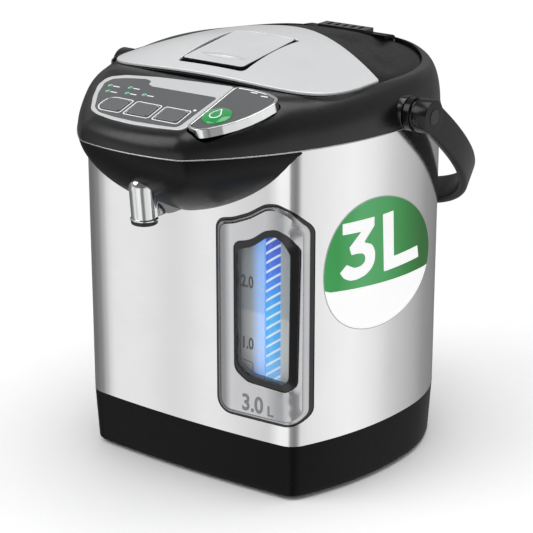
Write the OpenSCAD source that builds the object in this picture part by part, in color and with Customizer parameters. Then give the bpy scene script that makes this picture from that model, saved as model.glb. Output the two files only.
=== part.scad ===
// Electric thermo pot: steel body with a black base and head, a hinged lid with a release plate,
// a sloping key panel with a dispense paddle, a spout under the beak, a lit water gauge in the
// front right corner and a swinging carry handle. Millimetres, +Z up, front towards -Y.

/* [Body] */
// Half of the body's width, at the bulge of its sides
half_width = 108; // [106:0.5:111]
// From the pot's middle to the flat front of the body
front_reach = 103; // [102:0.5:105]
// From the pot's middle to the round back of the body
back_reach = 103; // [102:0.5:106]
// Radius of each bulged side
side_radius = 205; // [195:1:220]
// Radius of the nearly flat front
front_radius = 880; // [600:10:1200]
// Radius of each front corner
front_corner = 14; // [10:1:18]
// Radius of each back corner
back_corner = 100; // [95:1:104]
// Radius of the back between its corners
back_radius = 600; // [500:10:900]
// Thickness of the steel shell
steel_wall = 1; // [0.8:0.1:1.2]
// Thickness of the moulded plastic walls
plastic_wall = 2.6; // [2:0.1:3]
// Height of the black base's top edge
base_top = 39; // [37:0.5:41]
// How far the base draws in towards its foot
base_draw = 2.2; // [1:0.1:3]
// Height of the seam between the steel shell and the head
seam_height = 234; // [233:0.5:236]

/* [Feet and bottom] */
// Height of the rubber feet under the bottom plate
foot_height = 2; // [1.5:0.1:2.5]
// Radius of each rubber foot
foot_radius = 9; // [7:0.5:11]
// Thickness of the bottom plate
bottom_plate = 1.8; // [1.5:0.1:2]
// Thickness of the floor of the base
base_floor = 2.5; // [2:0.1:3]
// Radius of the round opening in the floor of the base
access_radius = 50; // [45:1:54]

/* [Head] */
// From the pot's middle to the tip of the beak
beak_reach = 158.5; // [156:0.5:161]
// Radius of the beak's front in plan
beak_radius = 150; // [120:5:200]
// Radius of the beak's two corners in plan
beak_corner = 20; // [16:1:24]
// Depth of the bowl under the beak
bowl_depth = 51.5; // [48:0.5:54]
// Height of the flat crown round the lid
crown_height = 264.5; // [263.5:0.5:266]
// Slope of the panel face in degrees
panel_slope = 16.7; // [15:0.1:18]
// From the pot's middle to where the crown starts to slope down
slope_start = 92; // [91.5:0.1:93]

/* [Pot] */
// Distance of the pot's axis behind the body's middle
pot_axis = 6; // [5:0.5:7]
// Inside radius of the steel pot
pot_radius = 74.2; // [72:0.1:75]
// Wall of the steel pot
pot_wall = 0.8; // [0.6:0.1:1]
// Height of the pot's underside
pot_bottom = 46; // [45:0.5:48]
// Height of the pot's rim
pot_rim = 236; // [235.5:0.5:238]
// Width of the flange round the pot's rim
pot_flange = 7; // [5:0.5:8]

/* [Lid] */
// Half of the lid's width
lid_half_width = 91.5; // [91:0.1:92]
// From the pot's axis to the lid's front edge
lid_front = 89; // [88.5:0.1:90]
// Gap between the lid and its opening
lid_gap = 0.8; // [0.6:0.1:1]
// Rise of the lid's dome
lid_dome = 15; // [13:0.5:17]
// Thickness of the lid's cover plate
cover_thickness = 1.6; // [1.2:0.1:2]
// How far the cover plate's edge stands in from the lid's
cover_inset = 1.5; // [1:0.1:2.5]
// Height of the lid's hinge axis
lid_axis_height = 261; // [260.5:0.1:261.5]
// Radius of the lid's hinge pin
lid_pin_radius = 1.5; // [1.3:0.1:1.6]

/* [Release plate] */
// Half of the release plate's width
latch_half_width = 24.5; // [22:0.5:26]
// Length of the release plate from front to back
latch_length = 60; // [56:1:62]
// Thickness of the release plate
latch_thickness = 2.4; // [2:0.1:2.6]
// Gap round the release plate
latch_gap = 1.5; // [1.2:0.1:1.8]
// Radius of the release plate's pin
latch_pin_radius = 1.25; // [1:0.05:1.4]

/* [Panel and keys] */
// Thickness of the key panel
panel_thickness = 2.4; // [2:0.1:2.8]
// Width of one key
key_width = 17; // [15:0.5:18]
// Length of one key along the slope
key_length = 13; // [11:0.5:14]
// Distance between the middles of two keys
key_pitch = 22.5; // [21:0.5:23]
// Gap round each key
key_gap = 0.25; // [0.2:0.05:0.4]
// Height of a key above the panel
key_rise = 0.7; // [0.5:0.1:1]

/* [Paddle] */
// Height of the dispense paddle's face above the slope
paddle_rise = 3; // [2.6:0.1:3.4]
// Height of the dispense paddle's edge
paddle_edge = 6; // [5.6:0.1:6.2]
// Width of the bright trim round the paddle
paddle_trim_width = 2.2; // [1.8:0.1:2.6]
// Radius of the green button
button_radius = 9.6; // [8:0.1:10.5]
// Radius of the paddle's pin
paddle_pin_radius = 1.25; // [1:0.05:1.4]

/* [Window] */
// Left edge of the window frame, from the middle of the body
window_left = 28; // [26:0.5:32]
// Right edge of the window frame
window_right = 88; // [86:0.5:89]
// Bottom edge of the window frame
window_bottom = 54; // [50:1:58]
// Top of the window frame's arch
window_top = 198; // [195:1:200]
// Radius of the water gauge tube
gauge_radius = 5; // [4:0.5:6]
// Height of the foot of the gauge tube
gauge_bottom = 72; // [68:1:76]
// Height of the top of the gauge tube
gauge_top = 176; // [172:1:180]

/* [Spout] */
// Radius of the spout's nose
spout_radius = 8; // [7:0.1:8.5]
// Radius of the water way in the spout
spout_bore = 5; // [4:0.1:5.5]
// From the pot's middle to the spout's tip
spout_reach = 140.5; // [139:0.5:142]
// Height of the nozzle's mouth
spout_mouth = 184.5; // [183:0.5:186]

/* [Handle] */
// Height of the handle's pivots
handle_pivot_height = 243; // [242:0.5:244]
// From the pot's middle forward to the handle's pivots
handle_pivot_reach = 8; // [6:0.5:10]
// Half of the handle's width, over its outer faces
handle_half_width = 126.5; // [126:0.5:130]
// Length of the handle from its pivots to the outside of its grip
handle_length = 170; // [165:1:176]
// Width of the handle's strap
handle_strap = 20; // [17:0.5:21]
// Thickness of the handle's strap
handle_thickness = 6.3; // [5.5:0.1:7]
// How far the resting handle hangs below level, in degrees
handle_droop = 36; // [33:1:40]
// Radius of the handle's pivot bosses
boss_radius = 11; // [10:0.5:12]
// Radius of the handle's pivot pins
handle_pin_radius = 3; // [2.5:0.1:3.5]

/* [Pump] */
// Radius of the pump's chamber
pump_radius = 19; // [17:0.5:21]
// Radius of the pump motor
motor_radius = 13.5; // [12:0.5:15]
// Radius of the motor's shaft
shaft_radius = 1.5; // [1.2:0.1:1.8]

/* [Hidden] */

$fn = 48;
hair = 0.01;
seat = 0.15;       // gap between pieces of one body that are set into each other
running = 0.05;    // radial clearance of a pin in its bore
tongue = 5;        // height of the locating rims inside the steel shell

// Back reach of the hanging handle, and the shift that centres the whole pot over its origin
handle_back = -handle_pivot_reach + handle_length * cos(handle_droop) + handle_strap / 2 * sin(handle_droop);
centre_shift = (beak_reach - handle_back) / 2;

// ---- Outlines -------------------------------------------------------------------------------
// An outline is a list of [x, y, nx, ny]: a point and the outward normal there.

function arc(c, r, a0, a1, n) =
    [for (i = [0 : n - 1])
        let (a = a0 + (a1 - a0) * i / n)
        [c.x + r * cos(a), c.y + r * sin(a), cos(a), sin(a)]];

// Centre of an arc inside two circles; side picks one of the two places
function fillet_centre(p, rp, q, rq, side) =
    let (d = norm(q - p), u = (q - p) / d, h = (rp * rp - rq * rq + d * d) / (2 * d),
        w = sqrt(rp * rp - h * h))
    p + h * u + side * w * [u.y, -u.x];

function angle_to(p, q) = atan2(q.y - p.y, q.x - p.x);

// Round-backed plan with bulged sides and a front of its own reach, radius and corners
function shield(reach, radius, corner) =
    let (
        side_c = [half_width - side_radius, 0],
        front_c = [0, radius - reach],
        back_c = [0, back_reach - back_radius],
        corner_c = fillet_centre(side_c, side_radius - corner, front_c, radius - corner, 1),
        rear_c = fillet_centre(side_c, side_radius - back_corner, back_c, back_radius - back_corner, -1),
        half = concat(
            arc(front_c, radius, -90, angle_to(front_c, corner_c), 3),
            arc(corner_c, corner, angle_to(front_c, corner_c), angle_to(side_c, corner_c), 4),
            arc(side_c, side_radius, angle_to(side_c, corner_c), angle_to(side_c, rear_c), 13),
            arc(rear_c, back_corner, angle_to(side_c, rear_c), angle_to(back_c, rear_c), 8),
            arc(back_c, back_radius, angle_to(back_c, rear_c), 90, 2)))
    concat(half, [[0, back_reach, 0, 1]],
        [for (i = [len(half) - 1 : -1 : 1]) [-half[i].x, half[i].y, -half[i][2], half[i][3]]]);

function inset(outline, d) = [for (p = outline) [p.x - d * p[2], p.y - d * p[3]]];

body = shield(front_reach, front_radius, front_corner);
head = shield(beak_reach, beak_radius, beak_corner);

// A polygon's corners rounded, each with its own radius
function rounded(pts, radii, steps = 4) =
    [for (i = [0 : len(pts) - 1])
        let (
            p = pts[i],
            a = pts[(i + len(pts) - 1) % len(pts)] - p,
            b = pts[(i + 1) % len(pts)] - p,
            ua = a / norm(a),
            ub = b / norm(b),
            half = acos(max(-1, min(1, ua * ub))) / 2,
            t = min(radii[i] / tan(half), 0.49 * norm(a), 0.49 * norm(b)),
            r = t * tan(half),
            c = p + (ua + ub) / norm(ua + ub) * r / sin(half),
            a0 = angle_to(c, p + ua * t),
            turn = angle_to(c, p + ub * t) - a0,
            sweep = turn > 180 ? turn - 360 : turn < -180 ? turn + 360 : turn)
        for (k = [0 : steps])
            let (turned = a0 + sweep * k / steps)
            [c.x + r * cos(turned), c.y + r * sin(turned)]];

// A counterclockwise polygon moved outwards by d, edge by edge
function grown(pts, d) =
    [for (i = [0 : len(pts) - 1])
        let (
            p = pts[i],
            u = p - pts[(i + len(pts) - 1) % len(pts)],
            v = pts[(i + 1) % len(pts)] - p,
            nu = [u.y, -u.x] / norm(u),
            nv = [v.y, -v.x] / norm(v))
        p + d * (nu + nv) / (1 + nu * nv)];

// Closed solid through rings of equal length, from the lowest to the highest
module loft(rings, low, high) {
    n = len(rings[0]);
    m = len(rings);
    polyhedron(
        concat([for (r = rings) each r], [low, high]),
        concat(
            [for (k = [0 : m - 2], i = [0 : n - 1])
                [k * n + i, (k + 1) * n + i, (k + 1) * n + (i + 1) % n]],
            [for (k = [0 : m - 2], i = [0 : n - 1])
                [k * n + i, (k + 1) * n + (i + 1) % n, k * n + (i + 1) % n]],
            [for (i = [0 : n - 1]) [i, (i + 1) % n, m * n]],
            [for (i = [0 : n - 1]) [(m - 1) * n + (i + 1) % n, (m - 1) * n + i, m * n + 1]]));
}

// Upright wall that follows an outline between two insets
module band(outline, outer, inner, z0, z1) {
    translate([0, 0, z0]) linear_extrude(z1 - z0) difference() {
        polygon(inset(outline, outer));
        polygon(inset(outline, inner));
    }
}

module slab(outline, d, z0, z1) {
    translate([0, 0, z0]) linear_extrude(z1 - z0) polygon(inset(outline, d));
}

// Round bar from one point to another
module rod(a, b, r) {
    d = b - a;
    translate(a) rotate([0, acos(d.z / norm(d)), atan2(d.y, d.x)]) cylinder(h = norm(d), r = r);
}

// Ring of a hose's skin round one point of its path
function hose_ring(path, i, r, across, sides) =
    let (
        a = path[max(i - 1, 0)],
        b = path[min(i + 1, len(path) - 1)],
        t = (b - a) / norm(b - a),
        u = cross(across, t) / norm(cross(across, t)),
        v = cross(t, u))
    [for (k = [0 : sides - 1]) path[i] + r * (u * cos(360 * k / sides) + v * sin(360 * k / sides))];

// Hose along a list of points; across is a direction the hose never runs in
module hose(path, outer, inner, across) {
    n = 14;
    m = len(path);
    function at(side, i, k) = side * m * n + i * n + (k + n) % n;
    polyhedron(
        concat(
            [for (i = [0 : m - 1]) each hose_ring(path, i, outer, across, n)],
            [for (i = [0 : m - 1]) each hose_ring(path, i, inner, across, n)]),
        concat(
            [for (i = [0 : m - 2], k = [0 : n - 1]) [at(0, i, k), at(0, i + 1, k), at(0, i + 1, k + 1)]],
            [for (i = [0 : m - 2], k = [0 : n - 1]) [at(0, i, k), at(0, i + 1, k + 1), at(0, i, k + 1)]],
            [for (i = [0 : m - 2], k = [0 : n - 1]) [at(1, i, k), at(1, i + 1, k + 1), at(1, i + 1, k)]],
            [for (i = [0 : m - 2], k = [0 : n - 1]) [at(1, i, k), at(1, i, k + 1), at(1, i + 1, k + 1)]],
            [for (k = [0 : n - 1]) [at(0, 0, k), at(0, 0, k + 1), at(1, 0, k + 1)]],
            [for (k = [0 : n - 1]) [at(0, 0, k), at(1, 0, k + 1), at(1, 0, k)]],
            [for (k = [0 : n - 1]) [at(0, m - 1, k), at(1, m - 1, k), at(1, m - 1, k + 1)]],
            [for (k = [0 : n - 1]) [at(0, m - 1, k), at(1, m - 1, k + 1), at(0, m - 1, k + 1)]]));
}

// Bend of a path from point a round corner b to point c
function bend(a, b, c, r, n = 4) =
    let (p = b + (a - b) / norm(a - b) * r, q = b + (c - b) / norm(c - b) * r)
    [for (i = [0 : n]) let (t = i / n) (1 - t) * (1 - t) * p + 2 * t * (1 - t) * b + t * t * q];

module both_sides() {
    children();
    mirror([1, 0, 0]) children();
}

// Everything is drawn round the pot's middle and then moved over the origin
module placed() {
    translate([0, centre_shift, 0]) children();
}

// ---- Base -----------------------------------------------------------------------------------

plate_bottom = foot_height;
plate_top = plate_bottom + bottom_plate;
floor_bottom = plate_top + seat;
floor_top = floor_bottom + base_floor;
plate_inset = 8;
screw_spots = [[-66, -62], [66, -62], [-60, 62], [60, 62]];
foot_spots = [[-62, -78], [62, -78], [-66, 40], [66, 40]];
screw_shank = 1.5;
screw_head = 3;
boss_height = 10;
base_wall = plastic_wall + base_draw;

module base_housing() color("#1c1c1e") placed() {
    foot_edge = 2;
    difference() {
        union() {
            difference() {
                loft([
                    for (s = [[foot_edge * 1.6, 0], [foot_edge * 0.5, 0.5], [0, foot_edge],
                        [0, base_top - plate_bottom]])
                        let (
                            d = s[0] + base_draw * (1 - s[1] / (base_top - plate_bottom)),
                            z = plate_bottom + s[1])
                        [for (p = inset(body, d)) [p.x, p.y, z]]],
                    [0, 0, plate_bottom], [0, 0, base_top]);
                slab(body, base_wall, floor_top, base_top + 1);
                slab(body, plate_inset, plate_bottom - 1, floor_bottom);
            }
            band(body, steel_wall + seat, base_wall, base_top - hair, base_top + tongue);
            for (s = screw_spots) translate([s.x, s.y, floor_top - hair])
                cylinder(h = boss_height, r = 4.5);
        }
        translate([0, pot_axis, plate_bottom]) cylinder(h = 10, r = access_radius);
        for (s = screw_spots) translate([s.x, s.y, plate_bottom])
            cylinder(h = boss_height + 3, r = screw_shank + running);
        inlet_cut(seat);
    }
}

module base_plate() color("#2a2a2c") placed() {
    slot_length = 40;
    difference() {
        slab(body, plate_inset + 0.4, plate_bottom, plate_top);
        for (s = screw_spots) translate([s.x, s.y, plate_bottom - 1])
            cylinder(h = 5, r = screw_shank + 0.3);
        for (s = screw_spots) translate([s.x, s.y, plate_bottom - 1])
            cylinder(h = 2, r = screw_head + 0.3);
        for (s = foot_spots) translate([s.x, s.y, plate_bottom - 1]) cylinder(h = 5, r = 3 + running);
        for (i = [-3 : 3]) translate([i * 9 - 2, -slot_length / 2, plate_bottom - 1])
            cube([4, slot_length, 5]);
    }
}

module rubber_feet() color("#151515") placed() {
    for (s = foot_spots) translate([s.x, s.y, 0]) {
        cylinder(h = foot_height, r = foot_radius);
        cylinder(h = plate_top, r = 3);
    }
}

module base_screws() color("#b0b0b4") placed() {
    for (s = screw_spots) translate([s.x, s.y, 0]) {
        translate([0, 0, plate_bottom - 0.8]) cylinder(h = 1.7, r = screw_head);
        translate([0, 0, plate_bottom]) cylinder(h = boss_height, r = screw_shank);
    }
}

board_floor = floor_top + 3;

module power_board() color("#3f7d4f") placed() {
    translate([-42, 28, board_floor]) cube([84, 44, 1.6]);
    translate([-34, 34, board_floor + 1.5]) cube([26, 24, 15]);
    translate([2, 36, board_floor + 1.5]) cube([16, 12, 14]);
    for (x = [26, 34]) translate([x, 42, board_floor + 1.5]) cylinder(h = 12, r = 3);
    for (x = [-38, 38], y = [32, 68]) translate([x, y, floor_top]) cylinder(h = 3.1, r = 2);
}

inlet_width = 44;
inlet_height = 26;
inlet_base = 10;

module inlet_cut(extra) {
    translate([-inlet_width / 2 - extra, back_reach - 14, inlet_base - extra])
        cube([inlet_width + 2 * extra, 30, inlet_height + 2 * extra]);
}

module power_inlet() color("#141414") placed() {
    socket = 4;
    difference() {
        union() {
            translate([-inlet_width / 2, back_reach - 18, inlet_base])
                cube([inlet_width, 21, inlet_height]);
            translate([-inlet_width / 2 - 4, back_reach - 18, inlet_base - 3])
                cube([inlet_width + 8, 3, inlet_height + 6]);
        }
        translate([-inlet_width / 2 + socket, back_reach - 9, inlet_base + socket])
            cube([inlet_width - 2 * socket, 20, inlet_height - 2 * socket]);
        for (x = [-10, 0, 10]) translate([x, back_reach - 20, inlet_base + inlet_height / 2])
            rotate([-90, 0, 0]) cylinder(h = 20, r = 1.5 + running);
    }
}

module inlet_pins() color("#d0b060") placed() {
    for (x = [-10, 0, 10]) translate([x, back_reach - 21, inlet_base + inlet_height / 2])
        rotate([-90, 0, 0]) cylinder(h = 18, r = 1.5);
}

// ---- Steel shell and pot --------------------------------------------------------------------

notch_half = 46;
notch_base = 208;

module steel_shell() color("#c9c9cc") placed() {
    difference() {
        band(body, 0, steel_wall, base_top, seam_height);
        window_prism(frame_points, frame_round, seat);
        translate([-notch_half, -front_reach - 5, notch_base]) cube([2 * notch_half, 20, 40]);
    }
}

// Wall of the pot; the bottom is a disc welded under it, and the lip a flat ring on top
module inner_pot() color("#d5d5d8") placed() translate([0, pot_axis, pot_bottom + pot_wall + hair]) {
    tall = pot_rim - pot_bottom - 2 * (pot_wall + hair);
    difference() {
        cylinder(h = tall, r = pot_radius + pot_wall, $fn = 96);
        translate([0, 0, -1]) cylinder(h = tall + 2, r = pot_radius, $fn = 96);
    }
}

module pot_lip() color("#d5d5d8") placed() translate([0, pot_axis, pot_rim - pot_wall]) {
    difference() {
        cylinder(h = pot_wall, r = pot_radius + pot_wall + pot_flange, $fn = 96);
        translate([0, 0, -1]) cylinder(h = pot_wall + 2, r = pot_radius, $fn = 96);
    }
}

module pot_base() color("#cdcdd0") placed() {
    spigot = 6;
    difference() {
        union() {
            translate([0, pot_axis, pot_bottom])
                cylinder(h = pot_wall, r = pot_radius + pot_wall, $fn = 96);
            translate([outlet.x, outlet.y, pot_bottom - spigot])
                cylinder(h = spigot + pot_wall / 2, r = outlet_radius);
        }
        translate([outlet.x, outlet.y, pot_bottom - spigot - 1])
            cylinder(h = 2 * spigot, r = outlet_radius - 1);
    }
}

outlet = [33, -46];
outlet_radius = 5;
heater_radius = 54;

module heating_plate() color("#9a9aa0") placed() translate([0, pot_axis, 0]) {
    difference() {
        translate([0, 0, pot_bottom - 5]) cylinder(h = 5, r = heater_radius);
        translate([outlet.x, outlet.y - pot_axis, pot_bottom - 9])
            cylinder(h = 12, r = outlet_radius + 3);
    }
    translate([0, 0, pot_bottom - 8]) rotate_extrude() translate([42, 3]) circle(r = 3.2);
}

module thermostat() color("#e6e2d8") placed() translate([0, pot_axis, 0]) {
    for (x = [-14, 14]) translate([x, 12, pot_bottom - 5 - seat]) mirror([0, 0, 1]) {
        cylinder(h = 5, r = 8);
        for (s = [-4, 4]) translate([s - 1, -3, 4.9]) cube([2, 6, 5]);
    }
}

// ---- Pump -----------------------------------------------------------------------------------

chamber_bottom = 24;
chamber_top = 34;
motor_height = 15;

module pump_housing() color("#e8e8ea") placed() translate([outlet.x, outlet.y, 0]) {
    wall = 1.8;
    way = [gauge_spot.x - outlet.x, gauge_spot.y - outlet.y];
    difference() {
        union() {
            translate([0, 0, chamber_bottom]) cylinder(h = chamber_top - chamber_bottom, r = pump_radius);
            translate([0, 0, chamber_top - hair]) cylinder(h = 4, r = outlet_radius);
            rod([0, 0, chamber_bottom + 5], [way.x * 0.52, way.y * 0.52, chamber_bottom + 5], 3.5);
        }
        translate([0, 0, chamber_bottom + wall])
            cylinder(h = chamber_top - chamber_bottom - 2 * wall, r = pump_radius - wall);
        translate([0, 0, chamber_top - wall - 1]) cylinder(h = 10, r = outlet_radius - 1);
        translate([0, 0, chamber_bottom - 1]) cylinder(h = 4, r = shaft_radius + running);
        rod([way.x * 0.25, way.y * 0.25, chamber_bottom + 5],
            [way.x * 0.56, way.y * 0.56, chamber_bottom + 5], 2.3);
    }
}

module pump_motor() color("#8d8f94") placed() translate([outlet.x, outlet.y, 0]) {
    difference() {
        translate([0, 0, chamber_bottom - motor_height])
            cylinder(h = motor_height - seat, r = motor_radius);
        translate([0, 0, chamber_bottom - motor_height + 3])
            cylinder(h = motor_height, r = shaft_radius + running);
    }
}

module motor_shaft() color("#bcbcc0") placed()
    translate([outlet.x, outlet.y, chamber_bottom - motor_height + 3.2]) {
    cylinder(h = motor_height + 2.6, r = shaft_radius);
}

module pump_impeller() color("#f0f0f0") placed() translate([outlet.x, outlet.y, chamber_bottom + 2.6]) {
    blades = 6;
    difference() {
        union() {
            cylinder(h = 1.4, r = pump_radius - 4.5);
            cylinder(h = 4.6, r = 3.6);
            for (i = [0 : blades - 1]) rotate([0, 0, i * 360 / blades]) translate([3, -0.6, 1.3])
                cube([pump_radius - 9, 1.2, 2.6]);
        }
        translate([0, 0, -1]) cylinder(h = 4.4, r = shaft_radius);
    }
}

module intake_hose() color("#e9e4da") placed() translate([outlet.x, outlet.y, 0]) {
    difference() {
        translate([0, 0, chamber_top + 0.5])
            cylinder(h = pot_bottom - chamber_top - 1, r = outlet_radius + 2);
        translate([0, 0, chamber_top])
            cylinder(h = pot_bottom - chamber_top, r = outlet_radius + running);
    }
}

gauge_spot = [60, -86];

module riser_hose() color("#e9e4da") placed() {
    way = [gauge_spot.x - outlet.x, gauge_spot.y - outlet.y];
    start = [outlet.x + way.x * 0.53, outlet.y + way.y * 0.53, chamber_bottom + 5];
    corner = [gauge_spot.x, gauge_spot.y, chamber_bottom + 5];
    end = [gauge_spot.x, gauge_spot.y, gauge_bottom - 0.3];
    hose(concat([start], bend(start, corner, end, 9), [end]), 4.2, 2.6, [way.y, -way.x, 0]);
}

module gauge_tube() color([0.75, 0.88, 1, 0.5]) placed()
    translate([gauge_spot.x, gauge_spot.y, gauge_bottom]) {
    difference() {
        cylinder(h = gauge_top - gauge_bottom, r = gauge_radius);
        translate([0, 0, -1]) cylinder(h = gauge_top - gauge_bottom + 2, r = gauge_radius - 1.2);
    }
}

// ---- Window ---------------------------------------------------------------------------------
// Its outlines are drawn as seen from the front and cut the curved corner from front to back

frame_points = [
    [window_left, window_bottom], [window_right, window_bottom], [window_right, window_top - 14],
    [window_right - 6, window_top - 3.5], [window_right - 16, window_top],
    [window_left + 36, window_top - 1], [window_left + 24, window_top - 8.5],
    [window_left + 12, window_top - 13.5], [window_left, window_top - 16]];
frame_round = [9, 10, 14, 14, 12, 16, 25, 30, 7];
bezel_points = [
    [window_left + 12.5, window_bottom + 31], [window_left + 22, window_bottom + 24],
    [window_right - 4, window_bottom + 22], [window_right - 3, window_top - 26],
    [window_right - 8, window_top - 18], [window_right - 16, window_top - 14.5],
    [window_left + 35, window_top - 17],
    [window_left + 25, window_top - 24.5], [window_left + 12.5, window_top - 27.5]];
bezel_round = [8, 16, 8, 8, 10, 10, 14, 22, 6];
bezel_width = 2.6;

module window_prism(points, radii, extra) {
    translate([0, -front_reach + 34, 0]) rotate([90, 0, 0]) linear_extrude(44)
        polygon(rounded(grown(points, extra), radii, 3));
}

module window_frame() color("#d8d8da") placed() {
    proud = 1.2;
    difference() {
        union() {
            intersection() {
                band(body, -proud, steel_wall + 1.2, window_bottom - 1, window_top + 1);
                window_prism(frame_points, frame_round, 0);
            }
            intersection() {
                band(body, steel_wall + seat, steel_wall + 1.6, window_bottom - 4, window_top + 4);
                window_prism(frame_points, frame_round, 2.5);
            }
        }
        window_prism(bezel_points, bezel_round, seat);
    }
}

module window_bezel() color("#121214") placed() {
    difference() {
        intersection() {
            band(body, -0.5, 5.2, window_bottom, window_top);
            window_prism(bezel_points, bezel_round, 0);
        }
        window_prism(bezel_points, bezel_round, -bezel_width);
    }
}

module window_pane() color([0.9, 0.94, 0.98, 0.4]) placed() {
    intersection() {
        band(body, 0.6, 2.4, window_bottom, window_top);
        window_prism(bezel_points, bezel_round, -bezel_width - seat);
    }
}

module gauge_backing() color("#dfe3e6") placed() {
    difference() {
        translate([window_left + 6, gauge_spot.y - gauge_radius - 2, window_bottom + 14])
            cube([gauge_spot.x + gauge_radius + 7 - window_left, 1.6, window_top - window_bottom - 28]);
        translate([gauge_spot.x - gauge_radius - 1, gauge_spot.y - 20, 0])
            cube([2 * gauge_radius + 2, 40, 300]);
    }
}

module gauge_light_strip() color("#2f62c8") placed() {
    translate([gauge_spot.x - 4, gauge_spot.y + gauge_radius + 1.2, gauge_bottom + 3]) {
        cube([8, 1.2, gauge_top - gauge_bottom - 6]);
        for (i = [0 : 5]) translate([2.5, -0.8, 6 + i * 17]) cube([3, 0.9, 3]);
    }
}

// ---- Head collar ----------------------------------------------------------------------------

function shoulder(y) = y > -115 ? max(9, 13 - 0.09 * y) : 23.4 + (y + 115) * 0.25;

function ease(t) = let (k = max(0, min(1, t))) k * k * (3 - 2 * k);

// Height of the collar's top: level, lower towards its sides, and sloping at the front
crown_fall = 2.4;
function crown(x, y) = min(
    crown_height - crown_fall * ease((abs(x) - 45) / 45) * ease((y + 98) / 26),
    crown_height + (y + slope_start) * tan(panel_slope));

// Ring of the head's skin at angle a of its shoulder, w inside it
function head_ring(a, w) =
    [for (p = head)
        let (s = shoulder(p.y), d = s * (1 - cos(a)) + w)
        let (top = crown(p.x - (s + w) * p[2], p.y - (s + w) * p[3]) - w)
        [p.x - d * p[2], p.y - d * p[3], seam_height + (top - seam_height) * sin(a)]];

// Ring of the crown between the end of the shoulder and a circle inside the lid's opening
function crown_ring(t, w) =
    let (core = 80)
    [for (p = head_ring(90, w))
        let (v = [p.x, p.y - pot_axis], q = v * core / norm(v), m = v + (q - v) * t)
        [m.x, m.y + pot_axis, crown(m.x, m.y + pot_axis) - w]];

module head_solid(w, low) {
    loft(
        concat([for (p = [inset(head, w)]) [for (q = p) [q.x, q.y, low]]],
            [for (a = [6, 24, 42, 58, 74, 90]) head_ring(a, w)],
            [for (t = [0.35, 0.7, 1]) crown_ring(t, w)]),
        [0, 0, low], [0, pot_axis, crown_height - w]);
}

lid_back_inset = 10.5;
lid_squareness = 5;
lid_sides = 72;

// Reach of the lid's plan from the pot's axis in the direction of angle a, moved outwards by
// extra: a squarish front, and a rear that follows the body's back
function lid_reach(a, extra = 0) =
    let (w = lid_half_width + extra, f = lid_front + extra, n = lid_squareness)
    let (u = [abs(cos(a)), abs(sin(a))])
    let (c = [half_width - side_radius + (side_radius - back_corner) * cos(1.5), 3])
    let (back_r = back_corner - lid_back_inset + extra, o = [0, pot_axis] - c, b = u * o)
    sin(a) <= 0
        ? pow(pow(u.x / w, n) + pow(u.y / f, n), -1 / n)
        : min(w, -b + sqrt(b * b - o * o + back_r * back_r));

function lid_plan(extra) =
    [for (i = [0 : lid_sides - 1])
        let (a = -90 + 360 * i / lid_sides, r = lid_reach(a, extra))
        [r * cos(a), pot_axis + r * sin(a)]];

module lid_prism(extra, z0, z1) {
    translate([0, 0, z0]) linear_extrude(z1 - z0) polygon(lid_plan(extra));
}

// Frame of the sloping face: X across, Y up the slope from where it starts, Z out of it
module on_slope() {
    translate([0, -slope_start, crown_height]) rotate([panel_slope, 0, 0]) children();
}

panel_points = [
    [33, -53.5], [33, 2], [6, 0.5], [-24, -2], [-47, -6], [-58, -11.5], [-58, -22],
    [-51, -36], [-42, -49.5], [-34, -53.5], [-21, -56], [-4, -57], [14, -55.8]];
panel_round = [5, 3, 60, 40, 14, 7, 14, 20, 10, 14, 30, 40, 40];
paddle_points = [
    [35, -52], [45, -54], [50.5, -50.5], [57, -44.5], [62.5, -38], [67, -30.5], [70.5, -22],
    [73, -12], [71, -5.5], [62, -2], [50, -0.5], [39, -0.5], [35, -3]];
paddle_round = [4, 8, 14, 14, 14, 14, 14, 4, 5, 14, 14, 4, 3];
well_floor = 9;
tray_bottom = well_floor + 2.5;
paddle_swing = 3;
switch_spot = [50, -38];

module slope_prism(points, radii, extra, z0, z1) {
    translate([0, 0, z0]) linear_extrude(z1 - z0) polygon(rounded(grown(points, extra), radii));
}

paddle_axis = [-5.5, -5.6];     // along the slope and below it
ear_spots = [38, 60.6];         // of the ears that hold its pin

// Room for the paddle at rest and pressed, and for its hinge, spring and switch
module paddle_well() {
    low = paddle_rise - paddle_edge - 0.6;
    on_slope() {
        slope_prism(paddle_points, paddle_round, 0.8, low, 12);
        translate([0, paddle_axis.x, paddle_axis.y]) rotate([paddle_swing, 0, 0])
            translate([0, -paddle_axis.x, -paddle_axis.y])
                slope_prism(paddle_points, paddle_round, 0.8, low, 12);
        intersection() {
            slope_prism(paddle_points, paddle_round, -1, -well_floor, 12);
            translate([0, -46, -20]) cube([100, 60, 40]);
        }
    }
}
hinge_half = 40;
lid_axis = [back_reach - 12, lid_axis_height];

// Bore for the lid's hinge pin through the collar's bosses
module hinge_bore() {
    translate([-hinge_half - 1, lid_axis.x, lid_axis.y]) rotate([0, 90, 0])
        cylinder(h = 2 * hinge_half + 2, r = lid_pin_radius + running);
}

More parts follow.
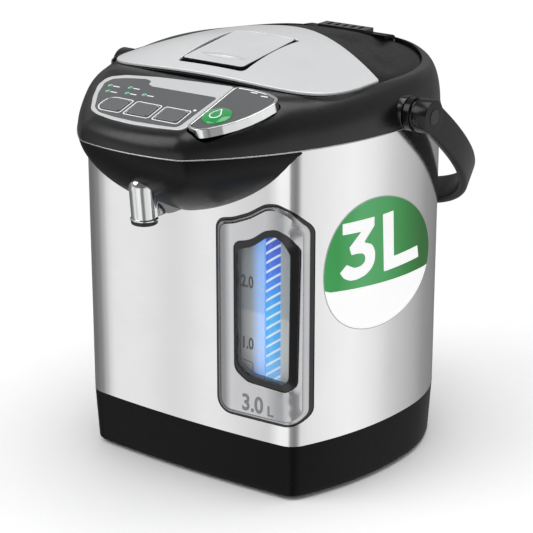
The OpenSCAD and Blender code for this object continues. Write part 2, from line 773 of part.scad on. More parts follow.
module head_collar() color("#19191b") placed() {
    shelf_top = lid_floor - seat;
    lip_width = 3.2;
    difference() {
        union() {
            difference() {
                head_solid(0, seam_height);
                // its inside, but for the paddle's tray and the lip and shelf round the lid's opening
                difference() {
                    head_solid(plastic_wall, seam_height - 1);
                    on_slope() slope_prism(paddle_points, paddle_round, 2.4, -tray_bottom, 12);
                    lid_prism(lip_width, shelf_top - 3, crown_height + 1);
                }
            }
            band(body, steel_wall + seat, steel_wall + 2.2, seam_height - tongue, seam_height + 6);
            difference() {
                both_sides() translate([half_width - 5, -handle_pivot_reach, handle_pivot_height])
                    rotate([0, 90, 0]) cylinder(h = fixed_boss - half_width + 5, r = boss_radius);
                slab(body, -seat, seam_height - 20, seam_height);
            }
        }
        on_slope() slope_prism(panel_points, panel_round, seat, -12, 12);
        paddle_well();
        lid_prism(lid_gap, shelf_top, crown_height + 20);
        hinge_bore();
        translate([0, pot_axis, seam_height - 10]) cylinder(h = 60, r = neck_outer + seat, $fn = 96);
        translate([-half_width, -front_reach - 100, seam_height - tongue - 1])
            cube([2 * half_width, 110, tongue + 1]);
        // room behind the lid for its hinge
        translate([-hinge_half + 4, lid_axis.x - 8, lid_axis.y - 6.5]) cube([2 * hinge_half - 8, 20, 20]);
        translate([0, -handle_pivot_reach, handle_pivot_height]) rotate([0, 90, 0])
            cylinder(h = 300, r = handle_pin_radius + running, center = true);
        on_slope() translate([switch_spot.x, switch_spot.y, -tray_bottom - 1]) cylinder(h = 5, r = 2.2);
        // keep for the bolt
        translate([-bolt_half - 0.5, pot_axis - lid_front - bolt_reach - 2.4, bolt_bottom - 0.5])
            cube([2 * bolt_half + 1, bolt_reach + 5.4, bolt_height + 1]);
    }
    // bosses for the lid's hinge pin
    difference() {
        both_sides() translate([hinge_half - 4, lid_axis.x, lid_axis.y]) {
            translate([0, -3, -7]) cube([5, 6, 7]);
            rotate([0, 90, 0]) cylinder(h = 5, r = 3);
        }
        hinge_bore();
    }
    // ears for the paddle's pin
    on_slope() for (x = ear_spots) difference() {
        translate([x, paddle_axis.x - 2.2, -well_floor - 0.5]) cube([2.5, 4.4, well_floor + 0.5 - 3.3]);
        translate([x - 1, paddle_axis.x, paddle_axis.y]) rotate([0, 90, 0])
            cylinder(h = 6, r = paddle_pin_radius + running);
    }
}

neck_outer = 86;

module neck_ring() color("#e4e4e0") placed() translate([0, pot_axis, 0]) {
    seat_top = 253.5;
    inner = pot_radius + pot_wall + seat;
    rotate_extrude($fn = 96) polygon([
        [inner, pot_rim - pot_wall - 4], [neck_outer - 1, pot_rim - pot_wall - 4], [neck_outer, pot_rim],
        [neck_outer, seat_top], [neck_outer - 10, seat_top], [neck_outer - 12, seat_top - 2],
        [neck_outer - 12, pot_rim + 4], [pot_radius + 1, pot_rim + seat],
        [pot_radius + pot_wall + pot_flange + seat, pot_rim + seat],
        [pot_radius + pot_wall + pot_flange + seat, pot_rim - pot_wall - seat],
            [inner, pot_rim - pot_wall - seat]]);
}

// ---- Beak bowl and spout --------------------------------------------------------------------

bowl_centre = -94;
bowl_front = [for (p = head) if (p.y < bowl_centre + 2) [p.x, p.y - bowl_centre]];
function bowl_scale(h) = pow(1 - pow(h, 1.55), 1 / 1.55);

module bowl_solid(w) {
    reach = beak_reach + bowl_centre;
    steps = [0.985, 0.95, 0.88, 0.78, 0.66, 0.52, 0.38, 0.24, 0.12, 0.05];
    loft(
        concat(
            [for (h = steps) [for (p = bowl_front)
                let (k = bowl_scale(h) * (1 - w / reach))
                [p.x * k, bowl_centre + p.y * k, seam_height - h * (bowl_depth - w)]]],
            [[for (p = bowl_front)
                let (k = 1 - w / reach)
                [p.x * k, bowl_centre + p.y * k, seam_height + (w > 0 ? 1 : 0)]]]),
        [0, bowl_centre, seam_height - bowl_depth + w],
            [0, bowl_centre - 20, seam_height + (w > 0 ? 1 : 0)]);
}

module beak_bowl() color("#232325") placed() {
    difference() {
        bowl_solid(0);
        bowl_solid(plastic_wall);
        slab(body, -0.1, seam_height - bowl_depth - 5, seam_height + 5);
        spout_form(0.3);
    }
}

nose_top = [0, -spout_reach - 2, 208];
nose_foot = [0, -spout_reach, spout_mouth + 1.5];
keel_half = 6.5;

module spout_form(extra) {
    rod(nose_foot, nose_top, spout_radius + extra);
    // its round top stands a hair proud of the nose
    translate(nose_top) sphere(r = spout_radius + extra + 0.1);
    translate([keel_half + extra, 0, 0]) rotate([90, 0, -90]) linear_extrude(2 * (keel_half + extra))
        polygon([
        [spout_reach + 2, spout_mouth + 3.5 - extra], [front_reach + 0.4, spout_mouth + 1.5 - extra],
        [front_reach + 0.4, 199 + extra], [spout_reach + 2, 210 + extra]]);
}

module spout() color("#e8e8ea") placed() {
    difference() {
        union() {
            spout_form(0);
            rod([0, -spout_reach + 4, 200], [0, -spout_reach + 12, 218], spout_bore);
        }
        rod([0, -spout_reach, spout_mouth], [0, -spout_reach, 200], spout_bore - 1.2);
        rod([0, -spout_reach, 200], [0, -spout_reach + 14, 222], spout_bore - 1.6);
        translate([-15, -spout_reach - 20, spout_mouth - 10]) cube([30, 36, 13.5]);
    }
}

module spout_nozzle() color("#1a1a1a") placed() translate([0, -spout_reach, spout_mouth]) {
    difference() {
        union() {
            cylinder(h = 3.4, r = spout_radius + 0.4);
            translate([0, 0, 3.3]) cylinder(h = 5, r = spout_bore - 1.3);
        }
        translate([0, 0, -1]) cylinder(h = 12, r = spout_bore - 2.4);
    }
}

module spout_hose() color("#e9e4da") placed() {
    a = [gauge_spot.x, gauge_spot.y, gauge_top + 0.3];
    b = [gauge_spot.x, gauge_spot.y, 224];
    c = [0, -spout_reach + 17.7, 230.8];
    d = [0, -spout_reach + 12.2, 218.4];
    hose(concat([a], bend(a, b, c, 14), bend(b, c, d, 7), [d]), 4.2, 2.8, [0.3, 1, 0]);
}

// ---- Key panel ------------------------------------------------------------------------------

key_row = -40.5;
key_first = -30;
key_travel = 0.6;
lens_spots = [[-48.5, -21], [-45.5, -27.5], [-33.5, -19.5], [-31, -26], [-18.5, -24.5]];
panel_rise = 0.6;

function key_points(extra) =
    let (w = key_width / 2 + extra, l = key_length / 2 + extra)
    rounded([[-w, -l], [w, -l], [w, l], [-w, l]], [3, 3, 3, 3]);

module control_panel() color("#707074") placed() on_slope() {
    difference() {
        slope_prism(panel_points, panel_round, 0, panel_rise - panel_thickness, panel_rise);
        for (i = [0 : 2]) translate([key_first + i * key_pitch, key_row, -10]) linear_extrude(20)
            polygon(key_points(key_gap));
        for (s = lens_spots) translate([s.x, s.y, -10]) cylinder(h = 20, r = 1.2 + running);
    }
    // standoffs for the board
    for (s = board_spots) translate([s.x, s.y, board_depth + 1.6 + hair]) difference() {
        cylinder(h = panel_rise - panel_thickness - board_depth - 1.6, r = 2.4);
        translate([0, 0, -1]) cylinder(h = 5, r = 0.9 + running);
    }
}

board_depth = -12;
board_spots = [[-44, -14], [24, -13], [26, -48.5], [-26, -50.5]];

// One key with the rim that keeps it in and the stem that works its switch
module key(i) {
    rim = 0.9;
    rim_top = panel_rise - panel_thickness - seat;
    on_slope() translate([key_first + i * key_pitch, key_row, 0]) {
        translate([0, 0, rim_top - 0.8]) linear_extrude(panel_rise + key_rise - rim_top + 0.8)
            polygon(key_points(0));
        translate([0, 0, rim_top - 0.8]) linear_extrude(0.8) polygon(key_points(rim));
        translate([0, 0, switch_top + 0.1]) cylinder(h = rim_top - switch_top - 0.2, r = 2);
    }
}

switch_top = board_depth + 1.6 + 4;

module select_key() color("#6a6a6e") placed() key(0);
module reboil_key() color("#6a6a6e") placed() key(1);
module unlock_key() color("#6a6a6e") placed() key(2);

module indicator_lenses() color("#3fae6a") placed() on_slope() {
    for (s = lens_spots) translate([s.x, s.y, board_depth + 1.6 + 0.2])
        cylinder(h = panel_rise - board_depth - 1.6 - 0.1, r = 1.2, $fn = 24);
}

module control_board() color("#2f6b45") placed() on_slope() {
    difference() {
        translate([-48, -52.4, board_depth]) cube([78, 42.4, 1.6]);
        for (s = board_spots) translate([s.x, s.y, board_depth - 1]) cylinder(h = 5, r = 1.2);
        translate([-50, -34, board_depth - 1]) rotate([0, 0, -45]) translate([-20, -40, 0])
            cube([60, 40, 4]);
    }
    translate([-12, -22, board_depth - 3]) cube([18, 12, 3 + hair]);
}

module key_switches() color("#303034") placed() on_slope() {
    for (i = [0 : 2]) translate([key_first + i * key_pitch, key_row, board_depth + 1.6]) {
        translate([-3, -3, 0]) cube([6, 6, 3.3]);
        cylinder(h = switch_top - board_depth - 1.6 - key_travel, r = 1.7);
    }
}

module board_screws() color("#b0b0b4") placed() on_slope() {
    for (s = board_spots) translate([s.x, s.y, board_depth]) {
        translate([0, 0, -1.4]) cylinder(h = 1.4, r = 1.9);
        translate([0, 0, -0.1]) cylinder(h = 4.4, r = 0.9);
    }
}

// ---- Dispense paddle ------------------------------------------------------------------------

paddle_bottom = paddle_rise - paddle_edge;
button_spot = [47, -36];

module dispense_paddle() color("#77777b") placed() on_slope() {
    difference() {
        union() {
            slope_prism(paddle_points, paddle_round, -paddle_trim_width, paddle_bottom, paddle_rise);
            for (x = [41, 56.5]) {
                translate([x, paddle_axis.x, paddle_axis.y]) rotate([0, 90, 0])
                    cylinder(h = 3.5, r = 2.4);
                translate([x, paddle_axis.x - 2.4, paddle_axis.y])
                    cube([3.5, 4.8, paddle_bottom - paddle_axis.y + 0.1]);
            }
        }
        translate([30, paddle_axis.x, paddle_axis.y]) rotate([0, 90, 0])
            cylinder(h = 50, r = paddle_pin_radius + running);
        translate([button_spot.x, button_spot.y, paddle_rise - 1.5])
            cylinder(h = 5, r = button_radius + 0.1);
        // clearance over the bracket ears
        for (x = ear_spots) translate([x - 0.4, paddle_axis.x - 2.8, paddle_bottom - 1])
            cube([3.3, 5.6, 1.8]);
    }
}

module paddle_trim() color("#d0d0d2") placed() on_slope() {
    difference() {
        slope_prism(paddle_points, paddle_round, 0, paddle_bottom + 0.2, paddle_rise - 0.3);
        slope_prism(paddle_points, paddle_round, hair - paddle_trim_width, -20, 20);
    }
}

module dispense_button() color("#12a352") placed() on_slope()
    translate([button_spot.x, button_spot.y, paddle_rise - 1.5]) {
    dome = 2.2;
    ball = (button_radius * button_radius + dome * dome) / (2 * dome);
    cylinder(h = 1.5 + hair, r = button_radius);
    intersection() {
        translate([0, 0, 1.5 + dome - ball]) sphere(r = ball);
        translate([0, 0, 1.5]) cylinder(h = dome + 1, r = button_radius);
    }
}

module paddle_pin() color("#c8c8cc") placed() on_slope() {
    translate([37.5, paddle_axis.x, paddle_axis.y]) rotate([0, 90, 0])
        cylinder(h = 26.1, r = paddle_pin_radius);
}

// Round wire wound round the Z axis, standing on its lowest turn
module coil(radius, wire, height, turns) {
    n = 6;
    m = turns * 14;
    rings = [for (i = [0 : m])
        let (a = 360 * turns * i / m)
        [for (k = [0 : n - 1])
            let (b = 360 * k / n, q = radius + wire * cos(b))
            [q * cos(a), q * sin(a), wire + (height - 2 * wire) * i / m + wire * sin(b)]]];
    polyhedron(
        [for (r = rings) each r],
        concat(
            [for (i = [0 : m - 1], k = [0 : n - 1])
                [i * n + k, (i + 1) * n + k, (i + 1) * n + (k + 1) % n]],
            [for (i = [0 : m - 1], k = [0 : n - 1])
                [i * n + k, (i + 1) * n + (k + 1) % n, i * n + (k + 1) % n]],
            [[for (k = [0 : n - 1]) k]],
            [[for (k = [n - 1 : -1 : 0]) m * n + k]]));
}

// Point of the sloping face's frame, moved to the pot's own frame
function off_slope(p) = [
    p.x,
    -slope_start + p.y * cos(panel_slope) - p.z * sin(panel_slope),
    crown_height + p.y * sin(panel_slope) + p.z * cos(panel_slope)];

spring_spot = [58, -27];

module paddle_spring() color("#b8b8bc") placed() {
    foot = off_slope([spring_spot.x, spring_spot.y, -well_floor]);
    translate([foot.x, foot.y, foot.z + 1.2]) coil(2.6, 0.35, 4.2, 3);
}

module dispense_switch() color("#202024") placed() on_slope()
    translate([switch_spot.x, switch_spot.y, 0]) {
    translate([-6, -4, -tray_bottom - seat - 7]) cube([12, 8, 7]);
    translate([0, 0, -tray_bottom - seat - hair])
        cylinder(h = tray_bottom + seat + paddle_bottom - 2.9, r = 1.6);
}

// ---- Lid ------------------------------------------------------------------------------------

lid_floor = 259;
lid_edge = crown_height - 2.5;      // height of the lid's edge at its sides
arch_front = 6;                     // rise of its edge in the middle of the front
arch_back = 2.5;                    // and of the back

function lid_z(x, y) =
    let (
        v = y - pot_axis,
        r = norm([x, v]),
        s = r < 0.1 ? 0 : min(1, r / lid_reach(atan2(v, x))),
        arch = arch_back + (arch_front - arch_back) * ease((20 - v) / 100))
    lid_edge + arch * max(0, 1 - pow(x / lid_half_width, 2)) + lid_dome * (1 - s * s);

// Back edge of the cover plate: nearly straight arms that meet in a round middle
function cover_back(x) = 33 - sqrt(100 + pow(0.52 * x, 2));

// How far the black rear of the lid falls below the dome, at each side of its ridge
function rear_fall(x, y) =
    4 * ease((y - cover_back(x)) / 26) * ease((abs(x) - 20) / 18)
    * ease((lid_reach(atan2(y - pot_axis, x)) - norm([x, y - pot_axis])) / 22);

module lid_solid(drop, low) {
    steps = [1, 0.99, 0.975, 0.95, 0.89, 0.8, 0.7, 0.58, 0.45, 0.3, 0.15];
    plan = lid_plan(0);
    axis = [0, pot_axis];
    loft(
        concat(
            [[for (p = plan) [p.x, p.y, low]]],
            [for (s = steps) [for (p = plan)
                let (q = axis + (p - axis) * s)
                [q.x, q.y, lid_z(q.x, q.y) - drop - rear_fall(q.x, q.y)]]]),
        [0, pot_axis, low], [0, pot_axis, lid_z(0, pot_axis) - drop]);
}

latch_front = -71;
latch_slope = 6.9;
latch_level = 273;

// Frame of the release plate: X across, Y back from its front edge, Z out of it
module on_latch() {
    translate([0, latch_front, latch_level]) rotate([latch_slope, 0, 0]) children();
}

latch_axis = [46, -4.2];
latch_well = 6.7;

module latch_cut(extra) {
    w = latch_half_width + extra;
    on_latch() translate([0, 0, -latch_well]) linear_extrude(30)
        polygon(rounded([[-w, -extra], [w, -extra], [w, latch_length + extra],
            [-w, latch_length + extra]], [3, 3, 3, 3]));
}

module lid_shell() color("#1b1b1d") placed() {
    difference() {
        union() {
            lid_solid(cover_thickness + cover_seat, lid_floor);
            // hump over the hinge
            translate([-34, 0, 0]) rotate([90, 0, 90]) linear_extrude(68) polygon([
                [lid_axis.x - 12, lid_floor + 1], [lid_axis.x + 1, lid_floor + 1],
                [lid_axis.x + 2.6, lid_axis.y], [lid_axis.x + 2.2, lid_axis.y + 3],
                [lid_axis.x, lid_axis.y + 4.4], [lid_axis.x - 4, lid_axis.y + 5.2],
                [lid_axis.x - 12, lid_axis.y + 6]]);
            for (x = [-34, 22]) translate([x, lid_axis.x, lid_axis.y]) rotate([0, 90, 0])
                cylinder(h = 12, r = 2.9);
        }
        // hollow under the dome
        difference() {
            translate([0, pot_axis, 0]) rotate_extrude($fn = 96) polygon([
                [0, lid_floor - 1], [74, lid_floor - 1], [74, lid_floor + 2], [60, lid_floor + 4],
                [35, lid_floor + 8], [0, lid_floor + 10]]);
            translate([-latch_half_width - 6, latch_front - 30, lid_floor - 2])
                cube([2 * latch_half_width + 12, latch_length + 33, 30]);
            for (x = [-36, 20]) translate([x, lid_axis.x - 9, lid_floor - 2]) cube([16, 20, 30]);
        }
        latch_cut(latch_gap);
        translate([-100, lid_axis.x, lid_axis.y]) rotate([0, 90, 0])
            cylinder(h = 200, r = lid_pin_radius + running);
        // room for the hinge bosses
        both_sides() translate([hinge_half - 4.6, lid_axis.x - 6.8, lid_floor - 4]) cube([14.6, 20, 30]);
        on_latch() translate([-latch_half_width - 3.5, latch_axis.x, latch_axis.y]) rotate([0, 90, 0])
            cylinder(h = 2 * latch_half_width + 7, r = latch_pin_radius + running);
        translate([-bolt_half - 0.4, -lid_front, bolt_bottom - 0.4])
            cube([2 * bolt_half + 0.8, bolt_length + 16, bolt_height + 0.8]);
        vent_recess();
    }
}

cover_seat = 0.35;
cover_columns = 30;
cover_rows = 10;
cover_half = lid_half_width - cover_inset;
function cover_front(x) = pot_axis - (lid_front - cover_inset)
    * pow(max(0, 1 - pow(abs(x) / cover_half, lid_squareness)), 1 / lid_squareness);

// Point of the cover plate's plan in column i and row j
function cover_spot(i, j) =
    let (
        x = (cover_half - 0.3) * sin(-90 + 180 * i / cover_columns),
        y0 = cover_front(x),
        y1 = max(y0 + 2, cover_back(x)))
    [x, y0 + (y1 - y0) * j / cover_rows];

function id(k, i, j) = (k * (cover_columns + 1) + i) * (cover_rows + 1) + j;

module lid_cover() color("#dcdcde") placed() {
    nx = cover_columns;
    ny = cover_rows;
    points = [for (k = [0, 1], i = [0 : nx], j = [0 : ny])
        let (p = cover_spot(i, j)) [p.x, p.y, lid_z(p.x, p.y) - (k == 0 ? cover_thickness : 0)]];
    difference() {
        polyhedron(points, concat(
            [for (i = [0 : nx - 1], j = [0 : ny - 1])
                [id(1, i, j), id(1, i, j + 1), id(1, i + 1, j + 1)]],
            [for (i = [0 : nx - 1], j = [0 : ny - 1])
                [id(1, i, j), id(1, i + 1, j + 1), id(1, i + 1, j)]],
            [for (i = [0 : nx - 1], j = [0 : ny - 1])
                [id(0, i, j), id(0, i + 1, j), id(0, i + 1, j + 1)]],
            [for (i = [0 : nx - 1], j = [0 : ny - 1])
                [id(0, i, j), id(0, i + 1, j + 1), id(0, i, j + 1)]],
            [for (i = [0 : nx - 1]) [id(0, i, 0), id(1, i, 0), id(1, i + 1, 0)]],
            [for (i = [0 : nx - 1]) [id(0, i, 0), id(1, i + 1, 0), id(0, i + 1, 0)]],
            [for (i = [0 : nx - 1]) [id(0, i, ny), id(1, i + 1, ny), id(1, i, ny)]],
            [for (i = [0 : nx - 1]) [id(0, i, ny), id(0, i + 1, ny), id(1, i + 1, ny)]],
            [for (j = [0 : ny - 1]) [id(0, 0, j), id(0, 0, j + 1), id(1, 0, j + 1)]],
            [for (j = [0 : ny - 1]) [id(0, 0, j), id(1, 0, j + 1), id(1, 0, j)]],
            [for (j = [0 : ny - 1]) [id(0, nx, j), id(1, nx, j), id(1, nx, j + 1)]],
            [for (j = [0 : ny - 1]) [id(0, nx, j), id(1, nx, j + 1), id(0, nx, j + 1)]]));
        latch_cut(latch_gap);
    }
}

liner_radius = 84;
dish_radius = 69;
dish_bottom = 240;

module lid_liner() color("#d2d2d6") placed() translate([0, pot_axis, 0]) {
    sheet = 1.2;
    rotate_extrude($fn = 96) polygon([
        [0, dish_bottom], [dish_radius - 4, dish_bottom], [dish_radius, dish_bottom + 4],
        [dish_radius, lid_floor - 2.2], [liner_radius, lid_floor - 2.2], [liner_radius, lid_floor - seat],
        [dish_radius - sheet, lid_floor - seat], [dish_radius - sheet, dish_bottom + 4 + sheet / 2],
        [dish_radius - 4 - sheet / 2, dish_bottom + sheet], [0, dish_bottom + sheet]]);
}

module lid_gasket() color("#e8e4da") placed() translate([0, pot_axis, 0]) {
    rotate_extrude($fn = 96) polygon([
        [dish_radius + 8, lid_floor - 2.2 - hair], [dish_radius + 14, lid_floor - 2.2 - hair],
        [dish_radius + 13, lid_floor - 4.4], [dish_radius + 11, lid_floor - 5.3],
            [dish_radius + 9, lid_floor - 4.4]]);
}

vent_width = 38.8;
vent_depth = 11;
vent_spot = 82;
vent_top = 269.4;

module vent_recess() {
    translate([-vent_width / 2 - seat, vent_spot - vent_depth / 2 - seat, vent_top - 7])
        cube([vent_width + 2 * seat, vent_depth + 2 * seat, 30]);
}

module steam_vent() color("#1f1f21") placed() translate([0, vent_spot, vent_top - 7 + hair]) {
    slots = 5;
    slot_pitch = 6.4;
    difference() {
        translate([-vent_width / 2, -vent_depth / 2, 0]) cube([vent_width, vent_depth, 7 - hair]);
        translate([-vent_width / 2 + 1.5, -vent_depth / 2 + 1.5, -1])
            cube([vent_width - 3, vent_depth - 3, 6]);
        for (i = [0 : slots - 1])
            translate([(i - (slots - 1) / 2) * slot_pitch - 1.2, -vent_depth / 2 + 2, 0])
            cube([2.4, vent_depth - 4, 20]);
    }
}

// ---- Lid release ----------------------------------------------------------------------------

bolt_half = 11;
bolt_bottom = lid_floor + 0.9;
bolt_height = 1.7;
bolt_reach = 2.6;       // how far its tip stands out of the lid
bolt_length = 28;

module release_plate() color("#dadadc") placed() on_latch() {
    w = latch_half_width;
    ball = 40;
    difference() {
        union() {
            translate([0, 0, -latch_thickness]) linear_extrude(latch_thickness)
                polygon(rounded([[-w, 0], [w, 0], [w, latch_length], [-w, latch_length]], [3, 3, 3, 3]));
            for (x = [-18, 14]) {
                translate([x, latch_axis.x, latch_axis.y]) rotate([0, 90, 0]) cylinder(h = 4, r = 2.2);
                translate([x, latch_axis.x - 2.2, latch_axis.y])
                    cube([4, 4.4, 0.1 - latch_thickness - latch_axis.y]);
            }
        }
        translate([-50, latch_axis.x, latch_axis.y]) rotate([0, 90, 0])
            cylinder(h = 100, r = latch_pin_radius + running);
        // finger scoop
        intersection() {
            translate([0, 8, ball - 1.5]) sphere(r = ball);
            translate([-20, 6, -5]) cube([40, 30, 10]);
        }
    }
}

module release_pin() color("#c8c8cc") placed() on_latch() {
    translate([-latch_half_width - 3, latch_axis.x, latch_axis.y]) rotate([0, 90, 0])
        cylinder(h = 2 * latch_half_width + 6, r = latch_pin_radius);
}

module release_spring() color("#b8b8bc") placed() on_latch() {
    translate([0, 8, -latch_well + hair]) coil(3.2, 0.4, latch_well - latch_thickness - 2 * hair, 3);
}

module release_bolt() color("#3a3a3e") placed() {
    translate([-bolt_half, pot_axis - lid_front - bolt_reach, bolt_bottom])
        cube([2 * bolt_half, bolt_length, bolt_height]);
}

module lid_hinge_pin() color("#c8c8cc") placed() {
    translate([-hinge_half - 0.5, lid_axis.x, lid_axis.y]) rotate([0, 90, 0])
        cylinder(h = 2 * hinge_half + 1, r = lid_pin_radius);
}

// ---- Handle ---------------------------------------------------------------------------------

fixed_boss = half_width + 0.5;
hub_gap = 0.6;
handle_squareness = 2.3;
cap_radius = 5.2;

// Frame of the handle: X across, Y along its arms, Z out of the strap's edge
module on_handle() {
    translate([0, -handle_pivot_reach, handle_pivot_height]) rotate([-handle_droop, 0, 0]) children();
}

// Point of the handle's bow at angle a, a little squarer than an ellipse
function bow(half, length, a) =
    let (n = 2 / handle_squareness)
    [half * sign(cos(a)) * pow(abs(cos(a)), n), length * pow(abs(sin(a)), n)];

module carry_handle() color("#161618") placed() on_handle() {
    steps = 40;
    inner_half = handle_half_width - handle_thickness;
    inner_length = handle_length - handle_thickness;
    difference() {
        union() {
            translate([0, 0, -handle_strap / 2]) linear_extrude(handle_strap) polygon(concat(
                [for (i = [0 : steps]) bow(handle_half_width, handle_length, 180 * i / steps)],
                [for (i = [steps : -1 : 0]) bow(inner_half, inner_length, 180 * i / steps)]));
            both_sides() {
                translate([inner_half, 0, 0]) rotate([0, 90, 0])
                    cylinder(h = handle_thickness, r = boss_radius);
                translate([fixed_boss + hub_gap, 0, 0]) rotate([0, 90, 0])
                    cylinder(h = inner_half - fixed_boss, r = boss_radius);
            }
        }
        rotate([0, 90, 0]) cylinder(h = 300, r = handle_pin_radius + running, center = true);
        both_sides() translate([handle_half_width - 4, 0, 0]) rotate([0, 90, 0])
            cylinder(h = 10, r = cap_radius + 0.1);
    }
}

module handle_pins() color("#c0c0c4") placed() {
    both_sides() translate([half_width - 12, -handle_pivot_reach, handle_pivot_height])
        rotate([0, 90, 0]) {
        cylinder(h = 4, r = handle_pin_radius + 2.5);
        cylinder(h = handle_half_width - 4.4 - half_width + 12, r = handle_pin_radius);
    }
}

module handle_caps() color("#0f0f10") placed() on_handle() {
    both_sides() translate([handle_half_width - 4 + hair, 0, 0]) rotate([0, 90, 0])
        cylinder(h = 4.4, r = cap_radius);
}

base_housing();
base_plate();
rubber_feet();
base_screws();
power_board();
power_inlet();
inlet_pins();
steel_shell();
inner_pot();
pot_base();
pot_lip();
heating_plate();
thermostat();
pump_housing();
pump_motor();
motor_shaft();
pump_impeller();
intake_hose();
riser_hose();
gauge_tube();
gauge_backing();
gauge_light_strip();
window_frame();
window_bezel();
window_pane();
spout_hose();
head_collar();
neck_ring();
beak_bowl();
spout();
spout_nozzle();
control_panel();
select_key();
reboil_key();
unlock_key();
indicator_lenses();
control_board();
key_switches();
board_screws();
dispense_paddle();
paddle_trim();
dispense_button();
paddle_pin();
paddle_spring();
dispense_switch();
lid_shell();
lid_cover();
lid_liner();
lid_gasket();
steam_vent();
release_plate();
release_pin();
release_spring();
release_bolt();
lid_hinge_pin();
carry_handle();
handle_pins();
handle_caps();
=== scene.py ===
import math
from bisect import bisect

import bmesh
import bpy
import numpy as np
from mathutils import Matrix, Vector, geometry


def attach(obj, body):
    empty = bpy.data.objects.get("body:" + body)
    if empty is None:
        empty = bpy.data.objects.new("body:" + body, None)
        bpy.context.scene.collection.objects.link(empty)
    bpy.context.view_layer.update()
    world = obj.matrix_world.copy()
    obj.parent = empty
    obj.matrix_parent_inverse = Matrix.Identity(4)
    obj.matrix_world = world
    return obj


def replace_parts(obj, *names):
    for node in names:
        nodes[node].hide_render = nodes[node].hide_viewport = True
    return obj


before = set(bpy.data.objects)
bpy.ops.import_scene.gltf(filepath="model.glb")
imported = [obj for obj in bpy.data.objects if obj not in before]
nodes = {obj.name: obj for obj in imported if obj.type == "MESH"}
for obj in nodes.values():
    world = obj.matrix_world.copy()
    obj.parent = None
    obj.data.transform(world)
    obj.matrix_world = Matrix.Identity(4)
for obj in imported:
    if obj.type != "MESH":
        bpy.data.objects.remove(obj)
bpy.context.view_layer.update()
scene = bpy.context.scene

# ---- Studio ----------------------------------------------------------------------------------
# A white table under two big soft boxes, in a white room with a grey end behind the pot, which
# is what gives the bright steel its dark edges. The table shows only its shadow near the pot.

CENTRE_SHIFT = 11.5446      # mm from the pot's middle to the middle of the whole thing


def at(x, y, z):
    """Point of the pot's own frame, in mm, as a point of the model, in metres."""
    return Vector((x, y + CENTRE_SHIFT, z)) / 1000


def linear(colour):
    """sRGB hex colour as linear red, green, blue and full alpha."""
    parts = [int(colour[i:i + 2], 16) / 255 for i in (1, 3, 5)]
    return tuple(c / 12.92 if c <= 0.04045 else ((c + 0.055) / 1.055) ** 2.4 for c in parts) + (1.0,)


def add(tree, kind, settings=None, links=None):
    """Adds a shader node. Settings name its sockets, by name or number, or its properties; links
    bring a socket the first output of another node, or an output that is given itself."""
    node = tree.nodes.new("ShaderNode" + kind)
    for key, value in (settings or {}).items():
        if isinstance(key, int) or key in node.inputs:
            node.inputs[key].default_value = value
        else:
            setattr(node, key, value)
    for key, source in (links or {}).items():
        tree.links.new(getattr(source, "outputs", [source])[0], node.inputs[key])
    return node


CAMERA_SPOT = (719.0, -1011.4, 552.0)
CAMERA_AIM = (-8.34, 0, 114.47)
CAMERA_LENS = 129.70
camera = bpy.data.objects.new("camera", bpy.data.cameras.new("camera"))
scene.collection.objects.link(camera)
camera.data.sensor_width = 36
camera.data.lens = CAMERA_LENS
camera.data.clip_end = 20
camera.location = at(*CAMERA_SPOT)
camera.rotation_euler = (at(*CAMERA_AIM) - camera.location).to_track_quat("-Z", "Y").to_euler()
scene.camera = camera
scene.view_settings.view_transform = "Standard"

world = bpy.data.worlds.new("white_room")
scene.world = world
world.use_nodes = True
tree = world.node_tree
tree.nodes.clear()
# How bright the room is all round, by the angle from the side that faces the pot's front right
# corner: bright beside the pot, grey behind it, with one soft grey post near the front left
ROOM = [(-180, 0.17), (-125, 0.16), (-104, 0.24), (-92, 0.5), (-85, 0.86), (-79, 0.86), (-76, 0.66),
        (-73.5, 0.7), (-71.5, 0.95), (-69.5, 0.95), (-67, 0.7), (-60, 0.62), (-52, 0.8), (-40, 0.95),
        (-14, 0.95), (-8, 0.3), (8, 0.2), (16, 0.3), (26, 0.75), (45, 0.8), (62, 0.84), (78, 0.95),
        (90, 0.84), (100, 0.62), (112, 0.48), (130, 0.3), (180, 0.17)]
# and its upper half: a mid grey screen behind the pot, low light in front
SCREEN = [(-180, 0.4), (-120, 0.4), (-95, 0.34), (-70, 0.22), (-45, 0.14), (20, 0.12), (50, 0.2),
          (75, 0.34), (95, 0.38), (180, 0.4)]
ROOM_FRONT = math.radians(35.72)
SCREEN_FOOT = (0.08, 0.26)      # how steep a look meets the screen in place of the walls
CEILING_FOOT = (0.72, 0.86)     # and the ceiling in place of the screen
CEILING = (0.16, 0.16, 0.165, 1)
FILL_LEVEL = 0.62               # of the plain white light on all that doesn't mirror the room
way = add(tree, "TexCoord")
turn = add(tree, "VectorRotate", {"rotation_type": "Z_AXIS", "Angle": -ROOM_FRONT},
           {"Vector": way.outputs["Generated"]})
axes = add(tree, "SeparateXYZ", links={0: turn})
back = add(tree, "Math", {"operation": "MULTIPLY", 1: -1.0}, {0: axes.outputs["Y"]})
angle = add(tree, "Math", {"operation": "ARCTAN2"}, {0: axes.outputs["X"], 1: back})
share = add(tree, "MapRange", {"From Min": -math.pi, "From Max": math.pi}, {"Value": angle})


def shades_round(levels):
    """Greys all round the room, from a list of (degrees, level)."""
    ramp = add(tree, "ValToRGB", links={0: share})
    stops = ramp.color_ramp.elements
    for degrees, level in levels[1:-1]:
        stops.new((degrees + 180) / 360)
    for stop, (degrees, level) in zip(stops, levels):
        stop.position = (degrees + 180) / 360
        stop.color = (level, level, level, 1)
    return ramp


